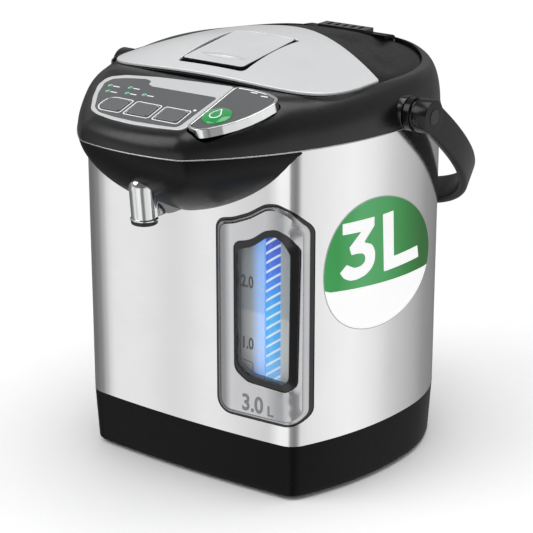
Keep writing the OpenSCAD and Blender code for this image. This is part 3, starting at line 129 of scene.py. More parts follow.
walls = shades_round(ROOM)
screen = shades_round(SCREEN)
rise = add(tree, "MapRange", {"From Min": SCREEN_FOOT[0], "From Max": SCREEN_FOOT[1]},
           {"Value": axes.outputs["Z"]})
room = add(tree, "Mix", {"data_type": "RGBA"}, {0: rise, 6: walls, 7: screen})
top = add(tree, "MapRange", {"From Min": CEILING_FOOT[0], "From Max": CEILING_FOOT[1]},
          {"Value": axes.outputs["Z"]})
room = add(tree, "Mix", {"data_type": "RGBA", 7: CEILING}, {0: top, 6: room.outputs[2]})
path = add(tree, "LightPath")
plain = add(tree, "Background", {"Color": (1, 1, 1, 1), "Strength": FILL_LEVEL})
mirror = add(tree, "Background", {"Strength": 1.0}, {"Color": room.outputs[2]})
shown = add(tree, "Background", {"Color": (1, 1, 1, 1), "Strength": 1.0})
glossy = add(tree, "MixShader", links={0: path.outputs["Is Glossy Ray"], 1: plain, 2: mirror})
seen = add(tree, "Math", {"operation": "MAXIMUM"},
           {0: path.outputs["Is Camera Ray"], 1: path.outputs["Is Transmission Ray"]})
both = add(tree, "MixShader", links={0: seen, 1: glossy, 2: shown})
add(tree, "OutputWorld", links={"Surface": both})

BOX_AIM = Vector((0, 0, 0.13))
for name, place, size, power in (
        ("soft_box_left", (-0.9, -1.1, 1.5), 1.2, 11.0),
        ("soft_box_top", (0.25, 0.1, 1.7), 1.3, 13.0)):
    box = bpy.data.objects.new(name, bpy.data.lights.new(name, "AREA"))
    scene.collection.objects.link(box)
    box.data.size = size
    box.data.energy = power
    box.location = place
    box.rotation_euler = (BOX_AIM - box.location).to_track_quat("-Z", "Y").to_euler()

FLOOR_REACH = 1.1
SHADOW_REACH = (0.24, 0.5)     # from here to there the table fades out
bm = bmesh.new()
bmesh.ops.create_circle(bm, cap_ends=True, radius=FLOOR_REACH, segments=96)
mesh = bpy.data.meshes.new("table_top")
bm.to_mesh(mesh)
bm.free()
table = bpy.data.objects.new("table_top", mesh)
scene.collection.objects.link(table)
matter = bpy.data.materials.new("white_table")
matter.use_nodes = True
tree = matter.node_tree
tree.nodes.clear()
paint = add(tree, "BsdfDiffuse", {"Color": (0.97, 0.97, 0.97, 1)})
clear = add(tree, "BsdfTransparent")
spot = add(tree, "TexCoord")
reach = add(tree, "VectorMath", {"operation": "LENGTH"}, {0: spot.outputs["Object"]})
fade = add(tree, "MapRange", {"From Min": SHADOW_REACH[0], "From Max": SHADOW_REACH[1],
                              "interpolation_type": "SMOOTHSTEP"}, {"Value": reach.outputs["Value"]})
path = add(tree, "LightPath")
away = add(tree, "Math", {"operation": "MAXIMUM"}, {0: fade, 1: path.outputs["Is Glossy Ray"]})
mixed = add(tree, "MixShader", links={0: away, 1: paint, 2: clear})
add(tree, "OutputMaterial", links={"Surface": mixed})
mesh.materials.append(matter)

# ---- Base ------------------------------------------------------------------------------------
# The base is one moulding of black ABS, drawn in a little towards its foot, with a soft edge
# where it meets the bottom plate and an opening for the inlet at the back.

HALF_WIDTH = 108.0
SIDE_RADIUS = 205.0
BACK_REACH = 103.0
BACK_RADIUS = 600.0
BACK_CORNER = 100.0
BASE_FOOT = 2.0
BASE_TOP = 39.0
BASE_DRAW = 2.2
FOOT_EDGE = 3.2             # depth of the soft edge over the bottom plate
TOP_EDGE = 0.5              # radius under the steel shell
LEDGE_IN = 4.5              # width of the ledge that carries the shell
FOOT_IN = 8.0               # and of the rim round the bottom plate
INLET_HALF = 22.15
INLET_LOW = 9.85
INLET_HIGH = 36.15
INLET_BEHIND = 80           # the inlet's opening lies behind this


def arc(centre, r, a0, a1, n):
    """Points of an arc with their outward normals, without its last point."""
    turns = [math.radians(a0 + (a1 - a0) * i / n) for i in range(n)]
    return [(centre[0] + r * math.cos(a), centre[1] + r * math.sin(a), math.cos(a), math.sin(a))
            for a in turns]


def fillet_centre(p, rp, q, rq, side):
    """Centre of an arc that runs into two circles of radius rp and rq."""
    span = math.dist(p, q)
    u = ((q[0] - p[0]) / span, (q[1] - p[1]) / span)
    h = (rp * rp - rq * rq + span * span) / (2 * span)
    w = math.sqrt(rp * rp - h * h)
    return (p[0] + h * u[0] + side * w * u[1], p[1] + h * u[1] - side * w * u[0])


def heading(p, q):
    """Direction from p to q, in degrees."""
    return math.degrees(math.atan2(q[1] - p[1], q[0] - p[0]))


def shield(reach, radius, corner):
    """Plan with bulged sides and a round back, and a front of its own reach, radius and corners."""
    side_c = (HALF_WIDTH - SIDE_RADIUS, 0)
    front_c = (0, radius - reach)
    back_c = (0, BACK_REACH - BACK_RADIUS)
    corner_c = fillet_centre(side_c, SIDE_RADIUS - corner, front_c, radius - corner, 1)
    rear_c = fillet_centre(side_c, SIDE_RADIUS - BACK_CORNER, back_c, BACK_RADIUS - BACK_CORNER, -1)
    half = (arc(front_c, radius, -90, heading(front_c, corner_c), 18)
            + arc(corner_c, corner, heading(front_c, corner_c), heading(side_c, corner_c), 24)
            + arc(side_c, SIDE_RADIUS, heading(side_c, corner_c), heading(side_c, rear_c), 78)
            + arc(rear_c, BACK_CORNER, heading(side_c, rear_c), heading(back_c, rear_c), 48)
            + arc(back_c, BACK_RADIUS, heading(back_c, rear_c), 90, 12))
    return half + [(0, BACK_REACH, 0, 1)] + [(-p[0], p[1], -p[2], p[3]) for p in half[:0:-1]]


BODY_FRONT = (103, 880, 14)     # reach, radius and corner radius of the body's front
HEAD_FRONT = (158.5, 150, 20)   # and of the head's beak
BODY = shield(*BODY_FRONT)
HEAD = shield(*HEAD_FRONT)


def moved(p, out):
    """Point of an outline, moved out along its normal."""
    return (p[0] + out * p[2], p[1] + out * p[3])


def shaded(name, settings):
    """A new material with its nodes and its surface shader."""
    new = bpy.data.materials.new(name)
    new.use_nodes = True
    new.node_tree.nodes.clear()
    shader = add(new.node_tree, "BsdfPrincipled", settings)
    add(new.node_tree, "OutputMaterial", links={"Surface": shader})
    return new, new.node_tree, shader


def texture(tree, shader, pitch, depth, dull, tones, stretch=(1, 1, 1)):
    """Marks `pitch` mm apart and `depth` mm deep, with roughness and colour between two values."""
    where = add(tree, "TexCoord")
    drawn = add(tree, "Mapping", {"Scale": stretch}, {"Vector": where.outputs["Object"]})
    marks = add(tree, "TexNoise", {"Scale": 1000 / pitch, "Detail": 3.0}, {"Vector": drawn})
    relief = add(tree, "Bump", {"Strength": 1.0, "Distance": depth / 1000}, {"Height": marks})
    level = add(tree, "MapRange", {"From Min": 0.3, "From Max": 0.7, "To Min": dull[0], "To Max": dull[1]},
                {"Value": marks})
    cloud = add(tree, "TexNoise", {"Scale": 40.0, "Detail": 2.0}, {"Vector": where.outputs["Object"]})
    colour = add(tree, "Mix", {"data_type": "RGBA", 6: linear(tones[0]), 7: linear(tones[1])}, {0: cloud})
    tree.links.new(relief.outputs[0], shader.inputs["Normal"])
    tree.links.new(level.outputs[0], shader.inputs["Roughness"])
    tree.links.new(colour.outputs[2], shader.inputs["Base Color"])
    return colour


def finish(name, settings, pitch, depth, dull, tones, stretch=(1, 1, 1)):
    """A material with the marks of its making."""
    new, tree, shader = shaded(name, settings)
    texture(tree, shader, pitch, depth, dull, tones, stretch)
    return new


SHARP_EDGE = 35             # degrees between two faces from which their edge is sharp


def piece(name, points, faces, matter, body, instead=(), crease=SHARP_EDGE, solid=True):
    """One mesh of the model from points in mm, riding on a body and standing for CAD nodes."""
    mesh = bpy.data.meshes.new(name)
    mesh.from_pydata([at(*p) for p in points], [], faces)
    bm = bmesh.new()
    bm.from_mesh(mesh)
    bmesh.ops.remove_doubles(bm, verts=bm.verts, dist=2e-6)
    bmesh.ops.dissolve_degenerate(bm, edges=bm.edges, dist=1e-6)
    if solid:
        bmesh.ops.recalc_face_normals(bm, faces=bm.faces)
    bm.to_mesh(mesh)
    bm.free()
    mesh.polygons.foreach_set("use_smooth", [True] * len(mesh.polygons))
    mesh.set_sharp_from_angle(angle=math.radians(crease))
    mesh.materials.append(matter)
    new = bpy.data.objects.new(name, mesh)
    scene.collection.objects.link(new)
    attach(new, body)
    if instead:
        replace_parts(new, *instead)
    return new


def strips(rings, closed=True, looped=False):
    """Faces between neighbouring rings of equal length, whose points are numbered in order."""
    n = len(rings[0])
    last = len(rings) if looped else len(rings) - 1
    across = n if closed else n - 1
    return [(k * n + i, k * n + (i + 1) % n, (k + 1) % len(rings) * n + (i + 1) % n,
             (k + 1) % len(rings) * n + i) for k in range(last) for i in range(across)]


def skin(name, rings, matter, body, instead=(), crease=SHARP_EDGE, closed=True, looped=False,
         ends=()):
    """A piece over neighbouring rings of points."""
    points = [p for ring in rings for p in ring]
    return piece(name, points, strips(rings, closed, looped) + list(ends), matter, body, instead,
                 crease)


# Moulded ABS, base colour near black, with the fine spark-eroded skin of its mould; the waves a
# moulding has are drawn about 3 mm long, coarser than the grain, so that the shine breaks up
base_abs = finish("satin_moulded_abs", {"IOR": 1.53, "Specular IOR Level": 0.1}, 3.0, 0.008, (0.26, 0.34),
                  ("#08080a", "#0c0c0e"))


def base_inset(z):
    """How far the base's side stands back from the body's outline."""
    t = min(1.0, max(0.0, (z - BASE_FOOT) / 2.0))
    edge = FOOT_EDGE * (1 - math.sqrt(max(0.0, 1 - (1 - t) ** 2)))
    return edge + BASE_DRAW * (1 - (z - BASE_FOOT) / (BASE_TOP - BASE_FOOT))


columns = list(BODY)
for k in range(len(columns) - 1, -1, -1):       # columns on both edges of the inlet's opening
    p, q = columns[k], columns[(k + 1) % len(columns)]
    for x in (-INLET_HALF, INLET_HALF):
        if min(p[1], q[1]) > INLET_BEHIND and min(p[0], q[0]) < x < max(p[0], q[0]):
            t = (x - p[0]) / (q[0] - p[0])
            columns.insert(k + 1, tuple(a + (b - a) * t for a, b in zip(p, q)))
rows = [BASE_FOOT + h for h in (0, 0.05, 0.15, 0.35, 0.7, 1.2, 2, 5)]
rows += [INLET_LOW, 16, 22, 29, INLET_HIGH, BASE_TOP - 1, BASE_TOP - 0.3, BASE_TOP]
rings = []
for z in rows:
    over = max(0.0, z - BASE_TOP + TOP_EDGE) / TOP_EDGE
    round_off = TOP_EDGE * (1 - math.sqrt(max(0.0, 1 - over ** 2)))
    rings.append([(*moved(p, -base_inset(z) - round_off), z) for p in columns])
rings.append([(*moved(p, -LEDGE_IN), BASE_TOP) for p in columns])
rings.insert(0, [(*moved(p, -FOOT_IN), BASE_FOOT) for p in columns])
points = [p for ring in rings for p in ring]
faces = []
for f in strips(rings):
    xs = [points[i][0] for i in f]
    zs = [points[i][2] for i in f]
    ys = [points[i][1] for i in f]
    across = max(abs(x) for x in xs) < INLET_HALF + 0.01
    upright = min(zs) > INLET_LOW - 0.01 and max(zs) < INLET_HIGH + 0.01
    if not (min(ys) > INLET_BEHIND and across and upright):
        faces.append(f)
piece("base_skirt", points, faces, base_abs, "pot", ("base_housing",))


def dress(matter, *names):
    """Gives CAD nodes their finish."""
    for name in names:
        mesh = nodes[name].data
        mesh.materials.clear()
        mesh.materials.append(matter)


# Plain black polypropylene, finely grained so that it looks dry; grain drawn at 1.2 mm
bottom_pp = finish("grained_polypropylene", {"IOR": 1.49}, 1.2, 0.04, (0.5, 0.62), ("#232325", "#2b2b2d"))
# Soft rubber, dusty and without shine
foot_rubber = finish("moulded_rubber", {"IOR": 1.52, "Specular IOR Level": 0.3}, 1.0, 0.03, (0.72, 0.85),
                     ("#131313", "#1d1d1c"))
# Zinc-plated steel, bright with a cloudy blue-white cast
zinc = finish("zinc_plated_steel", {"Metallic": 1.0}, 2.0, 0.01, (0.28, 0.42), ("#a9adb4", "#c4c5c8"))
# Green solder lacquer over fibreglass, with the weave drawn at 1.5 mm
board = finish("lacquered_circuit_board", {"IOR": 1.55, "Coat Weight": 0.4, "Coat Roughness": 0.2}, 1.5,
               0.02, (0.35, 0.5), ("#1f5a36", "#2d7246"))
# Turned brass contacts
brass = finish("turned_brass", {"Metallic": 1.0}, 1.0, 0.01, (0.22, 0.35), ("#c9a24c", "#dcb867"))
dress(bottom_pp, "base_plate")
dress(foot_rubber, "rubber_feet")
dress(zinc, "base_screws", "board_screws", "pump_motor", "motor_shaft")
dress(board, "power_board", "control_board")
dress(brass, "inlet_pins")
dress(base_abs, "power_inlet")

# ---- Steel shell -----------------------------------------------------------------------------
# A sheet of stainless steel, rolled round the body and polished to a soft mirror, with its
# opening for the window punched through and its long seam locked at the back.

SEAM_HEIGHT = 234.0
FRAME_CORNERS = [(28, 54), (88, 54), (88, 184), (82, 194.5), (72, 198), (64, 197), (52, 189.5),
                 (40, 184.5), (28, 182)]
FRAME_ROUND = [9, 10, 14, 14, 12, 16, 25, 30, 7]
SHELL_GAP = 1.7             # black gap between the window frame and the steel
FRONT_DEPTH = -60           # the front is what lies before this
SHELL_MESH = 5              # spacing of the points on the sheet


def rounded(corners, radii, steps=8):
    """A polygon with each corner rounded to its own radius."""
    out = []
    n = len(corners)
    for i, (corner, radius) in enumerate(zip(corners, radii)):
        p = Vector(corner)
        a, b = Vector(corners[i - 1]) - p, Vector(corners[(i + 1) % n]) - p
        ua, ub = a.normalized(), b.normalized()
        half = math.acos(max(-1, min(1, ua.dot(ub)))) / 2
        t = min(radius / math.tan(half), 0.49 * a.length, 0.49 * b.length)
        r = t * math.tan(half)
        c = p + (ua + ub).normalized() * r / math.sin(half)
        start = (p + ua * t) - c
        stop = (p + ub * t) - c
        a0 = math.atan2(start.y, start.x)
        sweep = (math.atan2(stop.y, stop.x) - a0 + math.pi) % (2 * math.pi) - math.pi
        out += [(c.x + r * math.cos(a0 + sweep * k / steps), c.y + r * math.sin(a0 + sweep * k / steps))
                for k in range(steps + 1)]
    return out


def grown(corners, d):
    """A counterclockwise polygon moved outwards by d, edge by edge."""
    out = []
    for i, corner in enumerate(corners):
        p = Vector(corner)
        u = (p - Vector(corners[i - 1])).normalized()
        v = (Vector(corners[(i + 1) % len(corners)]) - p).normalized()
        nu, nv = Vector((u.y, -u.x)), Vector((v.y, -v.x))
        q = p + (nu + nv) * d / (1 + nu.dot(nv))
        out.append((q.x, q.y))
    return out


def divided(loop, step):
    """A closed polygon with points added so that none of its sides is longer than step."""
    out = []
    for i, p in enumerate(loop):
        q = loop[(i + 1) % len(loop)]
        n = max(1, math.ceil(math.dist(p, q) / step))
        out += [(p[0] + (q[0] - p[0]) * k / n, p[1] + (q[1] - p[1]) * k / n) for k in range(n)]
    return out


def within(spots, loop):
    """Which of the spots lie inside a closed polygon."""
    x, y = spots[:, 0], spots[:, 1]
    inside = np.zeros(len(spots), bool)
    for i, p in enumerate(loop):
        q = loop[(i + 1) % len(loop)]
        if p[1] != q[1]:
            crosses = (p[1] > y) != (q[1] > y)
            inside ^= crosses & (x < (q[0] - p[0]) * (y - p[1]) / (q[1] - p[1]) + p[0])
    return inside


def fill(loop, holes, step):
    """Triangles over the area inside a loop and outside its holes, with a point every step."""
    paths = [loop, *holes]
    edge_points = [p for path in paths for p in path]
    edges, start = [], 0
    for path in paths:
        edges += [(start + i, start + (i + 1) % len(path)) for i in range(len(path))]
        start += len(path)
    ring = np.array(loop)
    xs = np.arange(ring[:, 0].min() + step / 2, ring[:, 0].max(), step)
    ys = np.arange(ring[:, 1].min() + step / 2, ring[:, 1].max(), step)
    spots = np.array([(x, y) for x in xs for y in ys]).reshape(-1, 2)
    if len(spots):
        keep = within(spots, loop)
        for hole in holes:
            keep &= ~within(spots, hole)
        border = np.array(edge_points)
        for k in range(len(spots)):
            if keep[k]:
                keep[k] = np.min(np.sum((border - spots[k]) ** 2, axis=1)) > (0.5 * step) ** 2
        spots = spots[keep]
    cloud = [Vector(p) for p in edge_points] + [Vector(p) for p in spots]
    flat, _, triangles, _, _, _ = geometry.delaunay_2d_cdt(cloud, edges, [], 0, 1e-6)
    flat = np.array([tuple(v) for v in flat])
    middles = np.array([flat[list(t)].mean(0) for t in triangles])
    keep = within(middles, loop)
    for hole in holes:
        keep &= ~within(middles, hole)
    return [tuple(p) for p in flat], [tuple(t) for t, k in zip(triangles, keep) if k]


class Track:
    """An outline by the distance along it, with its normals eased over a length in mm."""

    def __init__(self, outline, ease):
        start = max(range(len(outline)), key=lambda i: outline[i][1] - abs(outline[i][0]))
        spots = outline[start:] + outline[:start]
        spots.append(spots[0])
        self.spots = spots
        self.far = [0.0]
        for p, q in zip(spots, spots[1:]):
            self.far.append(self.far[-1] + math.dist(p[:2], q[:2]))
        self.length = self.far[-1]
        self.ease = ease

    def point(self, u):
        u = min(max(u, 0.0), self.length)
        k = min(max(bisect(self.far, u) - 1, 0), len(self.spots) - 2)
        t = (u - self.far[k]) / (self.far[k + 1] - self.far[k])
        return tuple(a + (b - a) * t for a, b in zip(self.spots[k], self.spots[k + 1]))

    def normal(self, u):
        total = Vector((0, 0, 0))
        for k in range(-8, 9):
            p = self.point((u + self.ease * k / 4) % self.length)
            total += Vector((p[2], p[3], 0)) * math.exp(-(k / 4) ** 2 / 2)
        return total.normalized()


BODY_TRACK = Track(BODY, ease=9.0)
FRONT = sorted((p for p in BODY_TRACK.spots if p[1] < FRONT_DEPTH), key=lambda p: p[0])
FRONT_X = [p[0] for p in FRONT]


def front_spot(x, z, out):
    """Point over the body's front at the place that shows at x from the front."""
    k = min(max(bisect(FRONT_X, x) - 1, 0), len(FRONT_X) - 2)
    t = (x - FRONT_X[k]) / (FRONT_X[k + 1] - FRONT_X[k])
    p = tuple(a + (b - a) * t for a, b in zip(FRONT[k], FRONT[k + 1]))
    return (p[0] + out * p[2], p[1] + out * p[3], z)


def distance_at(x):
    """Distance along the body's outline to the place that shows at x from the front."""
    low, high = 0.3 * BODY_TRACK.length, 0.7 * BODY_TRACK.length
    for _ in range(40):
        mid = (low + high) / 2
        if BODY_TRACK.point(mid)[0] < x:
            low = mid
        else:
            high = mid
    return low


window_hole = rounded(grown(FRAME_CORNERS, SHELL_GAP), [r + SHELL_GAP for r in FRAME_ROUND])
hole_track = [(distance_at(x), z) for x, z in divided(window_hole, 3)]
girth = BODY_TRACK.length
sheet = divided([(0, BASE_TOP), (girth, BASE_TOP), (girth, SEAM_HEIGHT), (0, SEAM_HEIGHT)], 3)
flat, triangles = fill(sheet, [hole_track], SHELL_MESH)

# Stainless steel, polished along its length: a soft mirror with very fine lines round the body,
# drawn 0.9 mm apart, and the faint unevenness of a rolled sheet
steel = finish("polished_stainless_steel", {"Metallic": 1.0}, 0.9, 0.0006, (0.13, 0.17),
               ("#f4f4f5", "#fbfbfb"), stretch=(0.04, 0.04, 1.0))

points, normals = [], []
for u, z in flat:
    p = BODY_TRACK.point(u)
    points.append((p[0], p[1], z))
    normals.append(BODY_TRACK.normal(u))
rim = [(*moved(BODY_TRACK.point(u), out), z) for out in (0, -1) for u, z in hole_track]
rim_faces = [tuple(len(points) + i for i in f) for f in strips([hole_track, hole_track])]
mesh = bpy.data.meshes.new("steel_body")
mesh.from_pydata([at(*p) for p in points + rim], [], triangles + rim_faces)
mesh.polygons.foreach_set("use_smooth", [True] * len(mesh.polygons))
middle = sum((Vector(p) for p in rim), Vector()) / len(rim)
edge_normals = [(Vector((*middle[:2], rim[i][2])) - Vector(rim[i])).normalized() for i in range(len(rim))]
mesh.normals_split_custom_set_from_vertices([tuple(n) for n in normals + edge_normals])
mesh.materials.append(steel)
steel_body = bpy.data.objects.new("steel_body", mesh)
scene.collection.objects.link(steel_body)
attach(steel_body, "pot")
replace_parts(steel_body, "steel_shell")

# ---- Pot, heater and pump --------------------------------------------------------------------
# Everything that holds, heats and moves the water, hidden in the body but seen with the lid up:
# a deep drawn steel pot, its cast heater, plastic pump parts and silicone hoses.

# Drawn stainless steel inside the pot, satin from the deep drawing, with rings 1.5 mm apart
pot_steel = finish("drawn_stainless_steel", {"Metallic": 1.0}, 1.5, 0.004, (0.26, 0.36),
                   ("#cfcfd1", "#dededf"), stretch=(0.1, 0.1, 1.0))
# Die-cast aluminium, grey and slightly rough
cast = finish("die_cast_aluminium", {"Metallic": 1.0}, 1.6, 0.03, (0.45, 0.6), ("#8f9095", "#a4a5a9"))
# White polypropylene, milky and half matt
white_pp = finish("white_polypropylene",
                  {"IOR": 1.49, "Subsurface Weight": 0.1, "Subsurface Scale": 0.002}, 1.6, 0.015,
                  (0.38, 0.5), ("#dedfda", "#e8e8e4"))
# Silicone rubber tube, cloudy and soft looking
silicone = finish("extruded_silicone_rubber",
                  {"IOR": 1.43, "Subsurface Weight": 0.15, "Subsurface Scale": 0.002}, 2.2, 0.02,
                  (0.45, 0.58), ("#ddd8cd", "#e9e5db"))
# Black nylon of switches and small moving parts
nylon = finish("glass_filled_nylon", {"IOR": 1.53}, 1.0, 0.02, (0.42, 0.55), ("#1c1c20", "#28282c"))
# Spring wire, drawn bright
wire = finish("drawn_spring_wire", {"Metallic": 1.0}, 0.8, 0.004, (0.2, 0.32), ("#b2b2b8", "#c6c6ca"))
dress(pot_steel, "inner_pot", "pot_base", "lid_liner")
dress(cast, "heating_plate")
dress(white_pp, "thermostat", "pump_housing", "pump_impeller", "neck_ring")
dress(silicone, "intake_hose", "riser_hose", "spout_hose", "lid_gasket")
dress(nylon, "key_switches", "dispense_switch", "release_bolt")
dress(wire, "release_spring", "paddle_spring")
dress(zinc, "lid_hinge_pin", "handle_pins", "release_pin", "paddle_pin")

# ---- Window ----------------------------------------------------------------------------------
# A die-cast frame round the front right corner, chromed and brushed, holds a black bezel and a
# clear pane. Behind the pane stand the card with its marks and the gauge tube, both with a painted
# blue glow.

BEZEL_CORNERS = [(40.5, 85), (50, 78), (84, 76), (85, 172), (80, 180), (72, 183.5), (63, 181), (53, 173.5),
                 (40.5, 170.5)]
BEZEL_ROUND = [8, 16, 8, 8, 10, 10, 14, 22, 6]
GLASS_CORNERS = [(41.8, 88.5), (50.5, 82.5), (79.5, 80.3), (80.2, 168), (76, 175), (70.5, 178.5),
                 (63, 176.2), (53.5, 168.8), (41.8, 165.5)]
GLASS_ROUND = [7, 14, 6, 6, 8, 8, 12, 20, 6]
FRAME_PROUD = 1.2           # levels are measured out of the steel
BEZEL_LEVELS = (-5.2, 0.5)
PANE_LEVELS = (-2.4, -0.6)
SEAL_LEVELS = (-1.6, -0.45)
CARD_THICK = 1.6
CARD_SPLIT = 122.5          # height at which the card's two greys meet
GLOW_REACH = (4, 13)        # the card's painted blue glow fades out from here to there beside the tube
BAND_PITCH = 6.3            # of the slanting bands on the tube
BAND_SLOPE = -0.75
INK = 0.08                  # height of a print, more than a real one so that it shows
CARD_DEPTH = -91.6
TUBE_SPOT = (58.6, -86.0)
TUBE_RADIUS = 5.0
TUBE_LOW = 72.0
TUBE_HIGH = 176.0


def plate(name, loop, holes, place, low, high, matter, body, slot, instead=(), bevel=0.3, step=5):
    """A plate on a surface: its outlines lie in (u, v), and place(u, v, w) puts their points there.
    Its upper edges are rounded by bevel. Holes are counterclockwise as well."""
    bends = [math.radians(a) for a in (22.5, 45, 67.5, 90)]
    profile = [(0, low), (0, high - bevel)] + [(bevel * (1 - math.cos(a)),
                                                high - bevel * (1 - math.sin(a))) for a in bends]
    points, faces = [], []
    for path, side in [(loop, -1)] + [(hole, 1) for hole in holes]:
        start = len(points)
        for d, w in profile:
            points += [place(u, v, w) for u, v in (grown(path, side * d) if d else path)]
        n = len(path)
        faces += [tuple(start + i for i in f) for f in strips([range(n)] * len(profile))]
    for d, w in ((bevel, high), (0, low)):
        flat, triangles = fill(grown(loop, -d) if d else loop, [grown(h, d) if d else h for h in holes],
                               step)
        faces += [tuple(len(points) + i for i in t) for t in triangles]
        points += [place(u, v, w) for u, v in flat]
    new = piece(name, points, faces, matter, body, instead)
    even = new.modifiers.new("even_shading", "WEIGHTED_NORMAL")
    even.keep_sharp = True
    return new


def joined(name, parts):
    """Several pieces as one, under a name of its own."""
    first = parts[0]
    bm = bmesh.new()
    for part in parts:
        bm.from_mesh(part.data)
    bm.to_mesh(first.data)
    bm.free()
    for part in parts[1:]:
        bpy.data.objects.remove(part)
    first.name = name
    return first


# Zinc casting, chromed dull and brushed up and down; lines 0.8 mm apart. The sloping edge of the
# frame is a darker copy of the chrome, painted shade, and the face is painted with reflections:
# darker at its left side and in an upright band near the corner
frame_metal, tree, shader = shaded("brushed_chrome_painted_reflection", {"Metallic": 1.0})
colour = texture(tree, shader, 0.8, 0.0015, (0.2, 0.28), ("#e2e2e4", "#eeeeef"), stretch=(1.0, 1.0, 0.04))
where = add(tree, "TexCoord")
axes = add(tree, "SeparateXYZ", links={0: where.outputs["Object"]})
# painted reflection: the face's colour is multiplied by greys from side to side, darker at its left edge
# and in a band near the corner
sides = (FRAME_CORNERS[0][0] / 1000, FRAME_CORNERS[1][0] / 1000)
share = add(tree, "MapRange", {"From Min": sides[0], "From Max": sides[1]}, {"Value": axes.outputs["X"]})
shades = add(tree, "ValToRGB", links={0: share})
stops = shades.color_ramp.elements
for position, tone in ((0.09, "#b4b5b7"), (0.17, "#fbfbfc"), (0.6, "#f6f6f7"), (0.8, "#c0c1c3"),
                       (0.93, "#fafafb")):
    stops.new(position).color = linear(tone)
stops[0].color = linear("#9b9c9f")
stops[-1].color = linear("#f0f0f1")
drawn = add(tree, "Mix", {"data_type": "RGBA", "blend_type": "MULTIPLY", 0: 1.0},
            {6: colour.outputs[2], 7: shades})
tree.links.new(drawn.outputs[2], shader.inputs["Base Color"])
# The sloping edge: the same chrome made darker, painted shade
edge_metal = finish("chrome_edge_painted_shade", {"Metallic": 1.0}, 1.2, 0.002, (0.24, 0.32),
                    ("#c2c3c6", "#d2d3d5"), stretch=(1.0, 1.0, 0.06))
# Gloss black ABS of the bezel and the seal in the gap, and of the handle's bosses and caps
gloss_abs = finish("gloss_moulded_abs", {"IOR": 1.53, "Coat Weight": 0.3, "Coat Roughness": 0.05}, 4.0,
                   0.008, (0.16, 0.22), ("#070708", "#0b0b0c"))

FRAME_EDGE = 2.2            # width of its sloping edge
outer = rounded(FRAME_CORNERS, FRAME_ROUND)
face = rounded(grown(FRAME_CORNERS, -FRAME_EDGE), [max(2, r - 1.5) for r in FRAME_ROUND])
opening = rounded(grown(BEZEL_CORNERS, 0.15), BEZEL_ROUND)
bezel = rounded(BEZEL_CORNERS, BEZEL_ROUND)
glass = rounded(GLASS_CORNERS, GLASS_ROUND)

# sloping edge: from the steel's level up to the flat face
slopes = [(0.0, -1.0), (0.0, 0.35), (0.12, 0.6), (0.35, 0.75), (0.99, FRAME_PROUD - 0.04),
          (1.0, FRAME_PROUD)]
rings = []
for t, w in slopes:
    rings.append([front_spot(a[0] + (b[0] - a[0]) * t, a[1] + (b[1] - a[1]) * t, w)
                  for a, b in zip(outer, face)])
skin("window_frame_edge", rings, edge_metal, "pot", ("window_frame",), crease=60)
plate("window_frame_face", divided(face, 4), [divided(opening, 4)], front_spot, -1.0, FRAME_PROUD,
      frame_metal, "pot", "window_metal", ("window_frame",), bevel=0.25, step=4)
plate("window_bezel_ring", divided(bezel, 4), [divided(glass, 4)], front_spot, *BEZEL_LEVELS, gloss_abs,
      "pot", "head_plastic", ("window_bezel",), bevel=0.5, step=4)
plate("window_seal", divided(window_hole, 4), [divided(face, 4)], front_spot, *SEAL_LEVELS, gloss_abs,
      "pot", "head_plastic", (), bevel=0.2, step=4)

# Clear acrylic pane, polished, with a weak shine
pane = finish("clear_acrylic", {"IOR": 1.49, "Alpha": 0.06}, 6.0, 0.003, (0.03, 0.07),
              ("#eef2f5", "#f6f9fb"))
plate("gauge_pane", divided(glass, 4), [], front_spot, *PANE_LEVELS, pane, "pot", "clear_pane",
      ("window_pane",), bevel=0.2, step=4)

# Printed card: pale grey lacquer, a cooler grey above, and a painted blue glow beside the tube,
# drawn as the card's own emission
card, tree, shader = shaded("printed_gauge_card", {"IOR": 1.5, "Emission Strength": 1.0})
colour = texture(tree, shader, 1.4, 0.01, (0.42, 0.55), ("#c6cac9", "#cdd0cf"))
where = add(tree, "TexCoord")
axes = add(tree, "SeparateXYZ", links={0: where.outputs["Object"]})
upper = add(tree, "MapRange", {"From Min": (CARD_SPLIT - 1) / 1000, "From Max": (CARD_SPLIT + 1) / 1000},
            {"Value": axes.outputs["Z"]})
cool = add(tree, "Mix", {"data_type": "RGBA", 7: linear("#a9b3b8")}, {0: upper, 6: colour.outputs[2]})
tree.links.new(cool.outputs[2], shader.inputs["Base Color"])
# painted glow: blue emission on the card, strongest next to the tube and fading away from it
off = add(tree, "Math", {"operation": "SUBTRACT", 1: TUBE_SPOT[0] / 1000}, {0: axes.outputs["X"]})
near = add(tree, "Math", {"operation": "ABSOLUTE"}, {0: off})
glow = add(tree, "MapRange", {"From Min": GLOW_REACH[0] / 1000, "From Max": GLOW_REACH[1] / 1000,
                              "To Min": 0.6, "To Max": 0.0, "interpolation_type": "SMOOTHSTEP"},
           {"Value": near})
blue = add(tree, "Mix", {"data_type": "RGBA", 6: (0, 0, 0, 1), 7: linear("#2f9cff")}, {0: glow})
tree.links.new(blue.outputs[2], shader.inputs["Emission Color"])


def card_point(u, v, w):
    """Point of the upright card: u across, v up, w out of its back."""
    return (u, CARD_DEPTH - w, v)


# the card, and the slot in it that shows the tube
card_edge = rounded([(36, 72), (80, 72), (80, 182), (36, 182)], [3] * 4)
slot = rounded([(57.2, 74), (69.6, 74), (69.6, 180), (57.2, 180)], [2] * 4)
plate("gauge_card", divided(card_edge, 6), [divided(slot, 6)], card_point, 0.0, CARD_THICK, card, "pot",
      "gauge_card", ("gauge_backing",), bevel=0.1, step=4)
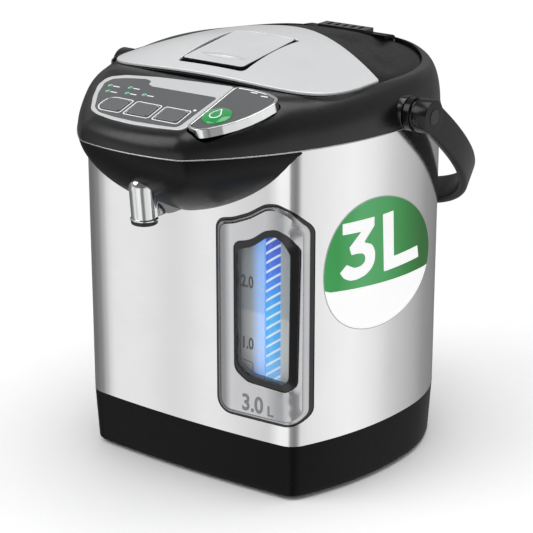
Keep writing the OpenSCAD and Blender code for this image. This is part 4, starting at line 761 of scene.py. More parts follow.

# Glass tube with a painted glow: it shines by its own emission, in place of the light of the
# lamp strip, in slanting bands, deep blue above, cyan in the middle and pale at the foot
lit, tree, shader = shaded("glass_tube_painted_glow", {"IOR": 1.5, "Roughness": 0.12, "Emission Strength": 1.0})
where = add(tree, "TexCoord")
axes = add(tree, "SeparateXYZ", links={0: where.outputs["Object"]})
tilt = add(tree, "Math", {"operation": "MULTIPLY_ADD", 1: BAND_SLOPE},
           {0: axes.outputs["X"], 2: axes.outputs["Z"]})
bands = add(tree, "Math", {"operation": "MULTIPLY", 1: 1000 / BAND_PITCH}, {0: tilt})
saw = add(tree, "Math", {"operation": "FRACT"}, {0: bands})
wave = add(tree, "Math", {"operation": "PINGPONG", 1: 0.5}, {0: saw})
gap = add(tree, "MapRange", {"From Min": 0.1, "From Max": 0.17}, {"Value": wave})
level = add(tree, "MapRange", {"From Min": TUBE_LOW / 1000, "From Max": TUBE_HIGH / 1000},
            {"Value": axes.outputs["Z"]})
shades = add(tree, "ValToRGB", links={0: level})
stops = shades.color_ramp.elements
for position, colour in ((0.25, "#3cb2fb"), (0.5, "#08b0fa"), (0.72, "#0a78f0"), (0.9, "#1552dc")):
    stops.new(position).color = linear(colour)
stops[0].color = linear("#86c6fb")
stops[-1].color = linear("#1a3ca8")
light = add(tree, "Mix", {"data_type": "RGBA", 6: linear("#d9ecfd")}, {0: gap, 7: shades})
faint = add(tree, "Mix", {"data_type": "RGBA", 0: 0.35, 6: (0, 0, 0, 1)}, {7: light.outputs[2]})
tree.links.new(faint.outputs[2], shader.inputs["Base Color"])
# painted glow: the tube's emission in these colours
dim = add(tree, "Mix", {"data_type": "RGBA", 0: 0.7, 6: (0, 0, 0, 1)}, {7: light.outputs[2]})
tree.links.new(dim.outputs[2], shader.inputs["Emission Color"])


def lathe(name, profile, place, matter, body, instead=(), n=64):
    """A turned part: its profile is a list of (radius, height), place(x, y, z) puts it."""
    rings = [[place(r * math.cos(2 * math.pi * k / n), r * math.sin(2 * math.pi * k / n), h)
              for k in range(n)] for r, h in profile]
    return skin(name, rings, matter, body, instead)


def tube_point(x, y, z):
    """Point round the tube's axis."""
    return (TUBE_SPOT[0] + x, TUBE_SPOT[1] + y, z)


bore, melt = TUBE_RADIUS - 1.2, 0.4      # the tube's ends are melted round
tube = [(bore, TUBE_LOW), (TUBE_RADIUS - melt, TUBE_LOW), (TUBE_RADIUS, TUBE_LOW + melt),
        (TUBE_RADIUS, TUBE_HIGH - melt), (TUBE_RADIUS - melt, TUBE_HIGH), (bore, TUBE_HIGH)]
lathe("gauge_glass_tube", tube, tube_point, lit, "pot", ("gauge_tube",))
# Blue strip of lamps on a white carrier
strip = finish("blue_lamp_strip", {"IOR": 1.5, "Emission Color": linear("#2f6bff"),
                                   "Emission Strength": 0.6}, 1.2, 0.02, (0.35, 0.5),
               ("#2f62c8", "#3a70d8"))
dress(strip, "gauge_light_strip")


def lettering(name, words, size, place, height, matter, body):
    """Raised numbers in a plain sans face, laid on a surface."""
    text = bpy.data.curves.new(name, "FONT")
    text.body = words
    text.size = size
    text.extrude = height / 2
    text.align_x = "CENTER"
    text.align_y = "CENTER"
    text.resolution_u = 4
    text.offset = 0.025 * size
    draft = bpy.data.objects.new(name + "_draft", text)
    scene.collection.objects.link(draft)
    bpy.context.view_layer.update()
    mesh = bpy.data.meshes.new_from_object(draft.evaluated_get(bpy.context.evaluated_depsgraph_get()))
    bpy.data.objects.remove(draft)
    points = [place(v.co.x, v.co.y, v.co.z + height / 2) for v in mesh.vertices]
    faces = [tuple(f.vertices) for f in mesh.polygons]
    bpy.data.meshes.remove(mesh)
    return piece(name, points, faces, matter, body, (), crease=30, solid=False)


# Screen-printed ink: dark grey on the card, mid grey on the frame, and white for the fine marks
dark_ink = finish("dark_grey_screen_ink", {"IOR": 1.5}, 1.0, 0.006, (0.5, 0.6), ("#2e3236", "#363a3e"))
grey_ink = finish("mid_grey_screen_ink", {"IOR": 1.5}, 1.0, 0.006, (0.45, 0.55), ("#7b7d80", "#85878a"))
pale_ink = finish("white_screen_ink", {"IOR": 1.5}, 1.0, 0.006, (0.4, 0.5), ("#e6e8ea", "#f0f2f3"))


def on_card(u, v, w):
    """Point of the card's face."""
    return card_point(u, v, CARD_THICK + w)


def set_at(place, x, y, width, lift):
    """Where a number's points go on a surface: round a spot, drawn narrower, and lifted off it."""
    return lambda u, v, w: place(x + u * width, y + v, lift + w)


NUMBER_SIZE = 11.0
for mark, height in (("2.0", 141.4), ("1.0", 99.8)):
    lettering(f"gauge_number_{mark[0]}", mark, NUMBER_SIZE, set_at(on_card, 43.8, height, 0.72, 0.02), INK,
              dark_ink, "pot")


def line(points, width):
    """Outline of a thin line of even width along a list of points."""
    left, right = [], []
    for i, p in enumerate(points):
        a = Vector(points[max(i - 1, 0)])
        b = Vector(points[min(i + 1, len(points) - 1)])
        t = (b - a).normalized()
        left.append((p[0] - t.y * width / 2, p[1] + t.x * width / 2))
        right.append((p[0] + t.y * width / 2, p[1] - t.x * width / 2))
    return right + left[::-1]


paths = ([(49.2, 140.6), (53.0, 139.4), (57.0, 138.6)], [(49.0, 99.0), (53.0, 98.2), (57.0, 97.4)])
marks = [plate(f"gauge_line_{k}", line(path, 0.35), [], on_card, 0, 0.06, pale_ink, "pot", "gauge_card",
               bevel=0.01, step=20) for k, path in enumerate(paths)]
joined("gauge_lines", marks)
box = [(38.6, 80.6), (48.2, 79.4), (48.2, 87.6), (38.6, 88.8)]
mark = rounded(box, [1.2] * 4, 4)
plate("refill_mark", mark, [rounded(grown(box, -0.45), [0.8] * 4, 4)],
      on_card, 0, INK, dark_ink, "pot", "gauge_card", bevel=0.01, step=10)
lettering("frame_number", "3.0", 15.7, set_at(front_spot, 54.2, 63.2, 0.85, FRAME_PROUD), 0.12, grey_ink,
          "pot")
lettering("frame_unit", "L", 9.5, set_at(front_spot, 67.4, 60.9, 1.0, FRAME_PROUD), 0.12, grey_ink, "pot")

# ---- Head ------------------------------------------------------------------------------------
# The head is a black ABS moulding that carries the lid, the panel and the paddle. A fine bright
# bead along its lower edge is a painted highlight of that rounded edge, and a separate bowl closes
# the beak from below.

CROWN_HEIGHT = 264.5
CROWN_FALL = 2.4
SLOPE_START = 92.0
PANEL_SLOPE = math.radians(16.7)
POT_AXIS = 6.0
LID_HALF_WIDTH = 91.5
LID_FRONT = 89.0
LID_SQUARENESS = 5
LID_GAP = 0.8
SHELF_TOP = 258.85
NECK_RADIUS = 86.15
PANEL_CORNERS = [(33, -53.5), (33, 2), (6, 0.5), (-24, -2), (-47, -6), (-58, -11.5), (-58, -22),
                 (-51, -36), (-42, -49.5), (-34, -53.5), (-21, -56), (-4, -57), (14, -55.8)]
PANEL_ROUND = [5, 3, 60, 40, 14, 7, 14, 20, 10, 14, 30, 40, 40]
PADDLE_CORNERS = [(35, -52), (45, -54), (50.5, -50.5), (57, -44.5), (62.5, -38), (67, -30.5), (70.5, -22),
                  (73, -12), (71, -5.5), (62, -2), (50, -0.5), (39, -0.5), (35, -3)]
PADDLE_ROUND = [4, 8, 14, 14, 14, 14, 14, 4, 5, 14, 14, 4, 3]
PADDLE_AXIS = (-5.5, -5.6)
PADDLE_SWING = math.radians(3)
LID_AXIS = (91.0, 261.0)
RIDGE_ROOM = 36             # half the width of the opening for the hinge's ridge


def shoulder(y):
    """Radius of the head's shoulder, which is widest over the beak."""
    return max(9, 13 - 0.09 * y) if y > -115 else 23.4 + (y + 115) * 0.25


def eased(t):
    """A smooth step from 0 to 1."""
    t = min(1.0, max(0.0, t))
    return t * t * (3 - 2 * t)


def crown(x, y):
    """Height of the head's top: level, lower towards its sides and sloping in front, with a soft crease."""
    level = CROWN_HEIGHT - CROWN_FALL * eased((abs(x) - 45) / 45) * eased((y + 98) / 26)
    slope = CROWN_HEIGHT + (y + SLOPE_START) * math.tan(PANEL_SLOPE)
    return (level + slope - math.sqrt((level - slope) ** 2 + 0.25)) / 2


def lid_reach(a, extra=0.0):
    """Reach of the lid's plan from the pot's axis in the direction a: squarish in front, round behind."""
    ux, uy = abs(math.cos(a)), math.sin(a)
    side, front, n = LID_HALF_WIDTH + extra, LID_FRONT + extra, LID_SQUARENESS
    if uy <= 0:
        return ((ux / side) ** n + (-uy / front) ** n) ** (-1 / n)
    back = BACK_CORNER - 10.5 + extra
    c = (HALF_WIDTH - SIDE_RADIUS + (SIDE_RADIUS - BACK_CORNER) * math.cos(math.radians(1.5)), 3.0)
    o = (-c[0], POT_AXIS - c[1])
    b = ux * o[0] + uy * o[1]
    return min(side, -b + math.sqrt(b * b - (o[0] ** 2 + o[1] ** 2) + back * back))


def on_slope(u, v, w):
    """Point of the sloping face: u across, v up the slope, w out of it."""
    s, c = math.sin(PANEL_SLOPE), math.cos(PANEL_SLOPE)
    return (u, -SLOPE_START + v * c - w * s, CROWN_HEIGHT + v * s + w * c)


def cutter(name, loop, place, low, high):
    """A plain prism used to cut a piece, taken away afterwards."""
    n = len(loop)
    points = [at(*place(u, v, w)) for w in (low, high) for u, v in loop]
    faces = [(i, (i + 1) % n, n + (i + 1) % n, n + i) for i in range(n)]
    faces += [tuple(range(n))[::-1], tuple(range(n, 2 * n))]
    mesh = bpy.data.meshes.new(name)
    mesh.from_pydata(points, [], faces)
    new = bpy.data.objects.new(name, mesh)
    scene.collection.objects.link(new)
    return new


def carved(target, cutters):
    """Cuts the cutters out of a closed piece for good."""
    for tool in cutters:
        cut = target.modifiers.new("cut", "BOOLEAN")
        cut.operation = "DIFFERENCE"
        cut.solver = "MANIFOLD"
        cut.object = tool
    bpy.context.view_layer.update()
    mesh = bpy.data.meshes.new_from_object(target.evaluated_get(bpy.context.evaluated_depsgraph_get()))
    target.modifiers.clear()
    old, target.data = target.data, mesh
    mesh.name = old.name
    bpy.data.meshes.remove(old)
    for tool in cutters:
        bpy.data.objects.remove(tool)
    mesh.polygons.foreach_set("use_smooth", [True] * len(mesh.polygons))
    mesh.set_sharp_from_angle(angle=math.radians(SHARP_EDGE))
    even = target.modifiers.new("even_shading", "WEIGHTED_NORMAL")
    even.keep_sharp = True
    return target


def swung(u, v, w):
    """Point of the pressed paddle."""
    y, z = v - PADDLE_AXIS[0], w - PADDLE_AXIS[1]
    s, c = math.sin(PADDLE_SWING), math.cos(PADDLE_SWING)
    return on_slope(u, PADDLE_AXIS[0] + y * c - z * s, PADDLE_AXIS[1] + y * s + z * c)


def shoulder_turn(p):
    """Angle at which the shoulder's arc ends over a point: level, or at the edge of the lid's opening."""
    low, high = math.radians(40), math.radians(90)
    for k in range(20):
        turn = (low + high) / 2 if k else high
        x, y = moved(p, -shoulder(p[1]) * (1 - math.cos(turn)))
        clear = math.hypot(x, y - POT_AXIS) > lid_reach(math.atan2(y - POT_AXIS, x), LID_GAP) + 0.9
        if clear and not k:
            return turn
        low, high = (turn, high) if clear else (low, turn)
    return low


# Satin black ABS of the head, the same moulding grade as the base, a little more even
head_abs = finish("satin_head_abs", {"IOR": 1.53, "Specular IOR Level": 0.5}, 3.5, 0.006, (0.27, 0.33),
                  ("#0c0c0d", "#101012"))
# The same moulding on the lid, made a deeper black all over and with less shine: a shaded copy of
# the head's black, painted shade
lid_abs = finish("satin_abs_painted_shade", {"IOR": 1.53, "Specular IOR Level": 0.1}, 3.5, 0.006, (0.27, 0.35),
                 ("#070708", "#0b0b0c"))

turns = [shoulder_turn(p) for p in HEAD]
rings = [[(*moved(p, out), SEAM_HEIGHT + up) for p in HEAD] for out, up in ((-0.5, 0.0), (-0.1, 0.2))]
for share in (0.03, 0.06, *[k / 22 for k in range(2, 23)]):
    ring = []
    for p, whole in zip(HEAD, turns):
        x, y = moved(p, -shoulder(p[1]) * (1 - math.cos(whole * share)))
        top = crown(*moved(p, -shoulder(p[1])))
        ring.append((x, y, SEAM_HEIGHT + (top - SEAM_HEIGHT) * math.sin(whole * share)))
    rings.append(ring)
last = rings[-1]
bearing = [math.atan2(p[1] - POT_AXIS, p[0]) for p in last]
edge = [(lid_reach(a, LID_GAP) * math.cos(a), POT_AXIS + lid_reach(a, LID_GAP) * math.sin(a))
        for a in bearing]
for t in (0.12, 0.24, 0.36, 0.48, 0.6, 0.72, 0.84, 0.94):
    between = [(p[0] + (q[0] - p[0]) * t, p[1] + (q[1] - p[1]) * t) for p, q in zip(last, edge)]
    rings.append([(*m, crown(*m)) for m in between])
for back, drop in ((0.6, 0.0), (0.3, 0.08), (0.08, 0.3), (0.0, 0.6)):
    rings.append([(q[0] + back * math.cos(a), q[1] + back * math.sin(a), crown(*q) - drop)
                  for q, a in zip(edge, bearing)])
rings.append([(*q, SHELF_TOP) for q in edge])
rings.append([(NECK_RADIUS * math.cos(a), POT_AXIS + NECK_RADIUS * math.sin(a), SHELF_TOP)
              for a in bearing])
rings.append([(NECK_RADIUS * math.cos(a), POT_AXIS + NECK_RADIUS * math.sin(a), SEAM_HEIGHT)
              for a in bearing])
collar = skin("head_shell", rings, head_abs, "pot", ("head_collar",), looped=True)


def level_point(u, v, w):
    """Point over the level table, for cutters that aren't tilted."""
    return (u, v, w)


def box_loop(centre, half):
    """Corners of a rectangle from its middle and its half sides."""
    (x, y), (a, b) = centre, half
    return [(x - a, y - b), (x + a, y - b), (x + a, y + b), (x - a, y + b)]


well = rounded(grown(PADDLE_CORNERS, 0.8), PADDLE_ROUND, 6)
carved(collar, [
    cutter("panel_recess", rounded(grown(PANEL_CORNERS, 0.15), PANEL_ROUND, 6), on_slope, -12, 12),
    cutter("paddle_recess", well, on_slope, -3.6, 12),
    cutter("paddle_travel", well, swung, -3.6, 12),
    cutter("hinge_room", box_loop((0, 96.5), (RIDGE_ROOM, 13.5)), level_point, 254.5, 300),
    cutter("bolt_keep", box_loop((0, -84), (11.5, 4)), level_point, 259.4, 262.1),
])

# A thin bright bead of grey metal between head and body: a painted highlight, standing for the
# shine on the head's rounded lower edge
edge_highlight_metal = finish("painted_edge_highlight", {"Metallic": 1.0}, 0.9, 0.001, (0.24, 0.34),
                    ("#b9babd", "#cbccce"))
turns = [math.radians(a) for a in range(0, 360, 30)]
rings = [[(*moved(p, 0.02 + 0.42 * math.cos(a)), SEAM_HEIGHT + 0.05 + 0.42 * math.sin(a)) for p in HEAD]
         for a in turns]
skin("seam_highlight_bead", rings, edge_highlight_metal, "pot", crease=80, looped=True)

# Bosses of the handle, round studs of the moulding on both sides
BOSS_RADIUS = 11.0
PIVOT = (8.0, 243.0)
BOSS_FOOT = 100.0           # inside the head
BOSS_END = 108.5
boss = [(0, BOSS_FOOT), (BOSS_RADIUS, BOSS_FOOT), (BOSS_RADIUS, BOSS_END - 0.5),
        (BOSS_RADIUS - 0.15, BOSS_END - 0.15), (BOSS_RADIUS - 0.5, BOSS_END), (0, BOSS_END)]
for side, name in ((1, "right"), (-1, "left")):
    lathe(f"handle_boss_{name}", boss, lambda x, y, z, s=side: (s * z, x - PIVOT[0], y + PIVOT[1]),
          gloss_abs, "pot", ("head_collar",))

# ---- Bowl, spout and nozzle ------------------------------------------------------------------
# The bowl under the beak is a black moulding, a shade finer than the head. The spout is an ABS
# moulding plated in bright chrome, with a black rubber nozzle pushed on its end.

BOWL_CENTRE = -94.0
BOWL_DEPTH = 51.5

front = [p for p in HEAD if p[1] < BOWL_CENTRE + 2]
front.sort(key=lambda p: p[0])
rings = []
for k in range(0, 31):
    t = math.radians(90 * k / 30)
    scale, drop = math.cos(t) ** (2 / 1.55), math.sin(t) ** (2 / 1.55)
    rings.append([(p[0] * scale, BOWL_CENTRE + (p[1] - BOWL_CENTRE) * scale,
                   SEAM_HEIGHT - 0.25 - drop * (BOWL_DEPTH - 0.25)) for p in front])
rings[0] = [(p[0] * 0.997, BOWL_CENTRE + (p[1] - BOWL_CENTRE) * 0.997, SEAM_HEIGHT) for p in front]
bowl_abs = finish("fine_satin_abs", {"IOR": 1.53, "Specular IOR Level": 0.15}, 3.0, 0.008, (0.28, 0.36),
                  ("#09090a", "#0d0d0f"))
skin("beak_underside", rings, bowl_abs, "pot", ("beak_bowl",), closed=False)

# Bright chrome plating over ABS: a clean mirror that only shows its soft moulded form
chrome = finish("bright_chrome_plate", {"Metallic": 1.0}, 5.0, 0.004, (0.05, 0.09), ("#eceded", "#f4f5f5"))
mesh = nodes["spout"].data.copy()
spout = bpy.data.objects.new("spout_body", mesh)
scene.collection.objects.link(spout)
melt = spout.modifiers.new("melt", "REMESH")
melt.mode = "VOXEL"
melt.voxel_size = 0.0007
soft = spout.modifiers.new("soft", "SMOOTH")
soft.iterations = 6
soft.factor = 0.5
bpy.context.view_layer.update()
mesh = bpy.data.meshes.new_from_object(spout.evaluated_get(bpy.context.evaluated_depsgraph_get()))
spout.modifiers.clear()
spout.data = mesh
mesh.materials.clear()
mesh.materials.append(chrome)
mesh.polygons.foreach_set("use_smooth", [True] * len(mesh.polygons))
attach(spout, "pot")
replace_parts(spout, "spout")
SPOUT_REACH = 140.5
SPOUT_MOUTH = 184.5


def on_spout(x, y, z):
    """Point round the spout's axis, from its mouth upwards."""
    return (x, y - SPOUT_REACH, SPOUT_MOUTH + z)


ring = [(6.0, 3.9), (8.5, 3.9), (8.9, 3.6), (8.9, 3.0), (8.5, 2.7), (6.0, 2.7)]
lathe("spout_ring", ring, on_spout, chrome, "pot")
nozzle_rubber = finish("black_nozzle_rubber", {"IOR": 1.52}, 1.2, 0.02, (0.35, 0.5),
                       ("#141414", "#1f1f20"))
sleeve = [(2.6, 8.3), (2.6, 0.2), (3.0, 0.0), (7.6, 0.0), (8.2, 0.4), (8.4, 1.1), (8.4, 2.8), (3.7, 3.1),
          (3.7, 8.3)]
lathe("nozzle_sleeve", sleeve, on_spout, nozzle_rubber, "pot", ("spout_nozzle",))

# ---- Key panel -------------------------------------------------------------------------------
# A silver-lacquered ABS plate on the sloping face, with a dark grey field printed on it, three
# keys in its holes and five light pipes. The words beside them are left out.

PANEL_RISE = 0.6
KEY_SPOTS = (-30.0, -7.5, 15.0)
KEY_ROW = -40.5
KEY_HALF = (8.5, 6.5)
KEY_TOP = 1.3
KEY_ROUND = 3
KEY_GAP = 0.25
LENS_HOLE = 1.25
LENS_SPOTS = [(-48.5, -21), (-45.5, -27.5), (-33.5, -19.5), (-31, -26), (-18.5, -24.5)]
FIELD_CORNERS = [(28.2, -51.8), (30.4, -13.2), (-20.5, -13.8), (-24.4, -12), (-25.2, -8.2), (-30, -6.9),
                 (-44, -9.6), (-52.6, -13.2), (-54.8, -18.8), (-50.2, -31.5), (-40.7, -46.8),
                 (-33.7, -51.4), (-20, -53.3), (-4, -53.9), (14, -53)]
FIELD_ROUND = [4, 2.5, 2, 1.2, 2, 8, 30, 5, 5, 20, 10, 12, 30, 40, 40]

# Silver lacquer with fine metal flake; the flakes are drawn 0.6 mm wide so that they show
silver = finish("silver_flake_lacquer", {"Metallic": 0.4, "IOR": 1.5}, 0.6, 0.0015, (0.34, 0.42),
                ("#d6d7d8", "#dedfe0"))
# Dark grey ink under clear hard lacquer
field_ink = finish("dark_grey_field_ink", {"IOR": 1.5, "Coat Weight": 0.6, "Coat Roughness": 0.06}, 1.2,
                   0.004, (0.32, 0.4), ("#4c4d50", "#57585b"))
# Key tops of tinted ABS, a little lighter than the field, with a soft shine
key_abs = finish("grey_key_abs", {"IOR": 1.53, "Coat Weight": 0.5, "Coat Roughness": 0.08}, 5.0, 0.002,
                 (0.26, 0.3), ("#58595c", "#606165"))
# Light pipes of green polycarbonate, lit from below
lens_green = finish("green_polycarbonate", {"IOR": 1.58, "Emission Color": linear("#19a565"),
                                            "Emission Strength": 0.35}, 0.8, 0.004, (0.12, 0.2),
                    ("#1c9a5e", "#27ab6c"))


def ring_loop(centre, r, n):
    """Points of a circle."""
    turns = [2 * math.pi * k / n for k in range(n)]
    return [(centre[0] + r * math.cos(a), centre[1] + r * math.sin(a)) for a in turns]


keys = [box_loop((x, KEY_ROW), KEY_HALF) for x in KEY_SPOTS]
key_holes = [rounded(grown(k, KEY_GAP), [KEY_ROUND] * 4) for k in keys]
lens_holes = [ring_loop(spot, LENS_HOLE, 20) for spot in LENS_SPOTS]
panel_edge = rounded(PANEL_CORNERS, PANEL_ROUND)
plate("panel_plate", divided(panel_edge, 4), key_holes + lens_holes, on_slope, -1.8, PANEL_RISE, silver,
      "pot", "panel_grey", ("control_panel",), bevel=0.5, step=6)
field = rounded(FIELD_CORNERS, FIELD_ROUND)
plate("panel_field", divided(field, 4), [grown(h, 0.35) for h in key_holes + lens_holes], on_slope,
      PANEL_RISE, PANEL_RISE + 0.06, field_ink, "pot", "panel_grey", bevel=0.04, step=6)
for i, (key, body) in enumerate(zip(keys, ("select_button", "reboil_button", "unlock_button"))):
    node = ("select_key", "reboil_key", "unlock_key")[i]
    plate(node + "_pad", rounded(key, [KEY_ROUND] * 4), [], on_slope, -3.4, KEY_TOP, key_abs, body,
          "key_grey", (node,), bevel=0.7, step=2)
pipe = [(0, -3.0), (1.18, -3.0), (1.18, 0.45), (1.1, 0.62), (0.8, 0.74), (0, 0.8)]
pipes = [lathe(f"light_pipe_{k}", pipe, lambda x, y, z, s=spot: on_slope(x + s[0], y + s[1], z),
               lens_green, "pot", n=20) for k, spot in enumerate(LENS_SPOTS)]
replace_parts(joined("light_pipes", pipes), "indicator_lenses")

PRINT_LEVELS = (PANEL_RISE + 0.05, PANEL_RISE + 0.12)
KEY_LINE = 0.75             # width of the line round a key
KEY_CLEAR = 1.0             # bare field between the key and its line


def printed(name, loop, holes=(), levels=PRINT_LEVELS, body="pot"):
    """A small mark in white ink on the slope."""
    return plate(name, loop, holes, on_slope, *levels, pale_ink, body, "panel_grey", bevel=0.02, step=30)


# White print: a line round each key and a short stroke beside each light
prints = []
for i, x in enumerate(KEY_SPOTS):
    edge = grown(box_loop((x, KEY_ROW), KEY_HALF), KEY_CLEAR + KEY_LINE)
    radii = [7, 2.2, 2.2, 7] if i == 0 else [2.2] * 4
    inner = rounded(grown(edge, -KEY_LINE), [r - 0.7 for r in radii])
    prints.append(printed(f"key_line_{i}", rounded(edge, radii), [inner]))
for i, (x, y) in enumerate(LENS_SPOTS):
    bar = rounded(box_loop((x + 5.0, y - 0.2), (2.6, 0.45)), [0.3] * 4, 3)
    prints.append(printed(f"lens_bar_{i}", bar))
prints.append(printed("key_dot", ring_loop((25.9, -31.0), 1.1, 16)))
joined("panel_print", prints)

# ---- Dispense paddle -------------------------------------------------------------------------
# The paddle is a grey ABS lever with a plated rim, and carries a domed green button. It turns on
# a pin at its back edge.

PADDLE_TOP = 3.0
TRIM_TOP = 2.7
TRIM_WIDTH = 2.2
BUTTON_SPOT = (47.0, -36.0)
BUTTON_RADIUS = 9.6
BUTTON_DOME = 2.2
DROP_RADIUS = 3.9
DROP_TIP = 6.2

# Green ABS under a thick clear coat, which gives it a small sharp shine
button_green = finish("green_button_abs", {"IOR": 1.53, "Coat Weight": 1.0, "Coat Roughness": 0.03}, 2.4,
                      0.004, (0.2, 0.28), ("#048c42", "#08994a"))

dress(field_ink, "dispense_paddle")
edge = rounded(PADDLE_CORNERS, PADDLE_ROUND)
inner = rounded(grown(PADDLE_CORNERS, -TRIM_WIDTH), [max(1.5, r - TRIM_WIDTH) for r in PADDLE_ROUND])
plate("paddle_rim", divided(edge, 4), [divided(inner, 4)], on_slope, -2.8, TRIM_TOP + 0.35, chrome,
      "paddle", "trim_metal", ("paddle_trim",), bevel=0.6, step=4)
dome = [(BUTTON_RADIUS * math.sin(math.radians(a)), BUTTON_DOME * math.cos(math.radians(a)))
        for a in range(90, -1, -10)]
button = [(0, 1.5), (BUTTON_RADIUS, 1.5), (BUTTON_RADIUS, PADDLE_TOP - 0.1)]
button += [(r, PADDLE_TOP + h) for r, h in dome]
lathe("button_dome", button, lambda x, y, z: on_slope(x + BUTTON_SPOT[0], y + BUTTON_SPOT[1], z),
      button_green, "paddle", ("dispense_button",), n=72)


def on_dome(u, v, w):
    """Point over the button's dome."""
    r = min(1.0, math.hypot(u, v) / BUTTON_RADIUS)
    return on_slope(BUTTON_SPOT[0] + u, BUTTON_SPOT[1] + v,
                    PADDLE_TOP + BUTTON_DOME * math.sqrt(1 - r * r) + w)


# a drop: an arc below, drawn in to a point above
turns = [math.radians(a) for a in range(-125, 126, 14)]
drop = [(DROP_RADIUS * math.sin(a), -1.4 - DROP_RADIUS * math.cos(a)) for a in turns] + [(0, DROP_TIP)]
inner = [(x * 0.8, -1.2 + (y + 1.2) * 0.8) for x, y in drop]
plate("button_mark", divided(drop, 0.6), [divided(inner, 0.6)], on_dome, 0.0, 0.07, pale_ink, "paddle",
      "button_green", bevel=0.02, step=3)
bars = [printed(f"paddle_bar_{k}", rounded(box_loop(spot, (2.6, 0.5)), [0.3] * 4, 3), (),
                (PADDLE_TOP, PADDLE_TOP + 0.07), "paddle")
        for k, spot in enumerate([(52.5, -4.6), (61.5, -6.8)])]
joined("paddle_print", bars)

# ---- Lid -------------------------------------------------------------------------------------
# The lid is a black ABS shell with a cover plate of brushed aluminium in a shallow seat. Its rear
# is dished on both sides of a low ridge that carries the steam vent.

LID_FLOOR = 259.0
LID_EDGE = CROWN_HEIGHT - 2.5
LID_ARCH = (2.5, 6.0)       # rise of its edge in the middle of the back and of the front
LID_DOME = 15.0
COVER_INSET = 1.5
COVER_THICK = 1.6
COVER_SEAT = 0.35
LATCH_FRONT = (-71.0, 273.0)
LATCH_SLOPE = math.radians(6.9)
LATCH_HALF = 24.5
LATCH_LENGTH = 60.0
LATCH_GAP = 1.5
LATCH_THICK = 2.4
LATCH_WELL = 6.7
SHEET_INSET = 0.8           # black rim of the release plate round its silver sheet
SHEET_THICK = 0.34


def lid_z(x, y):
    """Height of the lid's dome, whose edge rises in an arch at the front and the back."""
    v = y - POT_AXIS
    r = math.hypot(x, v)
    s = min(1.0, r / lid_reach(math.atan2(v, x))) if r > 0.1 else 0.0
    arch = LID_ARCH[0] + (LID_ARCH[1] - LID_ARCH[0]) * eased((20 - v) / 100)
    return LID_EDGE + arch * max(0.0, 1 - (x / LID_HALF_WIDTH) ** 2) + LID_DOME * (1 - s * s)


def cover_back(x):
    """Rear edge of the cover plate, a soft V."""
    return 33 - math.sqrt(100 + (0.52 * x) ** 2)


def rear_fall(x, y):
    """Depth of the dishes on both sides of the ridge behind the cover plate."""
    v = y - POT_AXIS
    rim = lid_reach(math.atan2(v, x)) - math.hypot(x, v)
    return 4 * eased((y - cover_back(x)) / 26) * eased((abs(x) - 20) / 18) * eased(rim / 22)


def on_latch(u, v, w):
    """Point of the release plate: u across, v back from its front edge, w out of it."""
    s, c = math.sin(LATCH_SLOPE), math.cos(LATCH_SLOPE)
    return (u, LATCH_FRONT[0] + v * c - w * s, LATCH_FRONT[1] + v * s + w * c)


def cover_point(u, v, w):
    """Point over the dome."""
    return (u, v, lid_z(u, v) + w)


turns = [2 * math.pi * k / 240 - math.pi / 2 for k in range(240)]
shares = (1.0, 0.9985, 0.995, 0.99, 0.984, 0.976, 0.966, 0.954, 0.94, 0.92, 0.9, 0.87, 0.84, 0.81, 0.77,
          0.73, 0.68, 0.63, 0.57, 0.5, 0.42, 0.33, 0.23, 0.12)
levels = [(1.0, None)] + [(s, COVER_THICK + COVER_SEAT) for s in shares]
rings = []
for s, under in levels:
    ring = []
    for a in turns:
        r = lid_reach(a) * s
        x, y = r * math.cos(a), POT_AXIS + r * math.sin(a)
        ring.append((x, y, LID_FLOOR if under is None else lid_z(x, y) - under - rear_fall(x, y)))
    rings.append(ring)
n = len(turns)
points = [p for r in rings for p in r] + [(0, POT_AXIS, LID_FLOOR),
                                          (0, POT_AXIS, lid_z(0, POT_AXIS) - COVER_THICK - 0.3)]
faces = strips(rings)
faces += [(k, len(points) - 2, (k + 1) % n) for k in range(n)]
top = (len(rings) - 1) * n
faces += [(top + k, top + (k + 1) % n, len(points) - 1) for k in range(n)]
shell = piece("lid_body", points, faces, lid_abs, "lid", ("lid_shell",))
latch_loop = rounded(box_loop((0, LATCH_LENGTH / 2),
                              (LATCH_HALF + LATCH_GAP, LATCH_LENGTH / 2 + LATCH_GAP)), [3] * 4)
carved(shell, [
    cutter("latch_recess", latch_loop, on_latch, -LATCH_WELL, 20),
    cutter("boss_room_right", box_loop((42.7, 97.1), (7.3, 12.9)), level_point, 250, 300),
    cutter("boss_room_left", box_loop((-42.7, 97.1), (7.3, 12.9)), level_point, 250, 300),
    cutter("bolt_way", box_loop((0, -70), (11.4, 25)), level_point, 259.5, 262),
])

# Aluminium sheet, brushed from side to side and lacquered silver, so that it stays pale all round;
# the strokes are drawn 0.9 mm apart, coarser than real ones
cover_metal = finish("brushed_aluminium", {"Metallic": 0.4, "Anisotropic": 0.5, "IOR": 1.5}, 0.9, 0.001,
                     (0.32, 0.4), ("#dcddde", "#e4e5e6"), stretch=(0.03, 1.0, 1.0))
COVER_HALF = LID_HALF_WIDTH - COVER_INSET
COVER_TIP = COVER_HALF - 0.5


def cover_front(x):
    """Front and side edge of the cover plate, a little inside the lid's."""
    n = LID_SQUARENESS
    return POT_AXIS - (LID_FRONT - COVER_INSET) * max(0.0, 1 - (abs(x) / COVER_HALF) ** n) ** (1 / n)


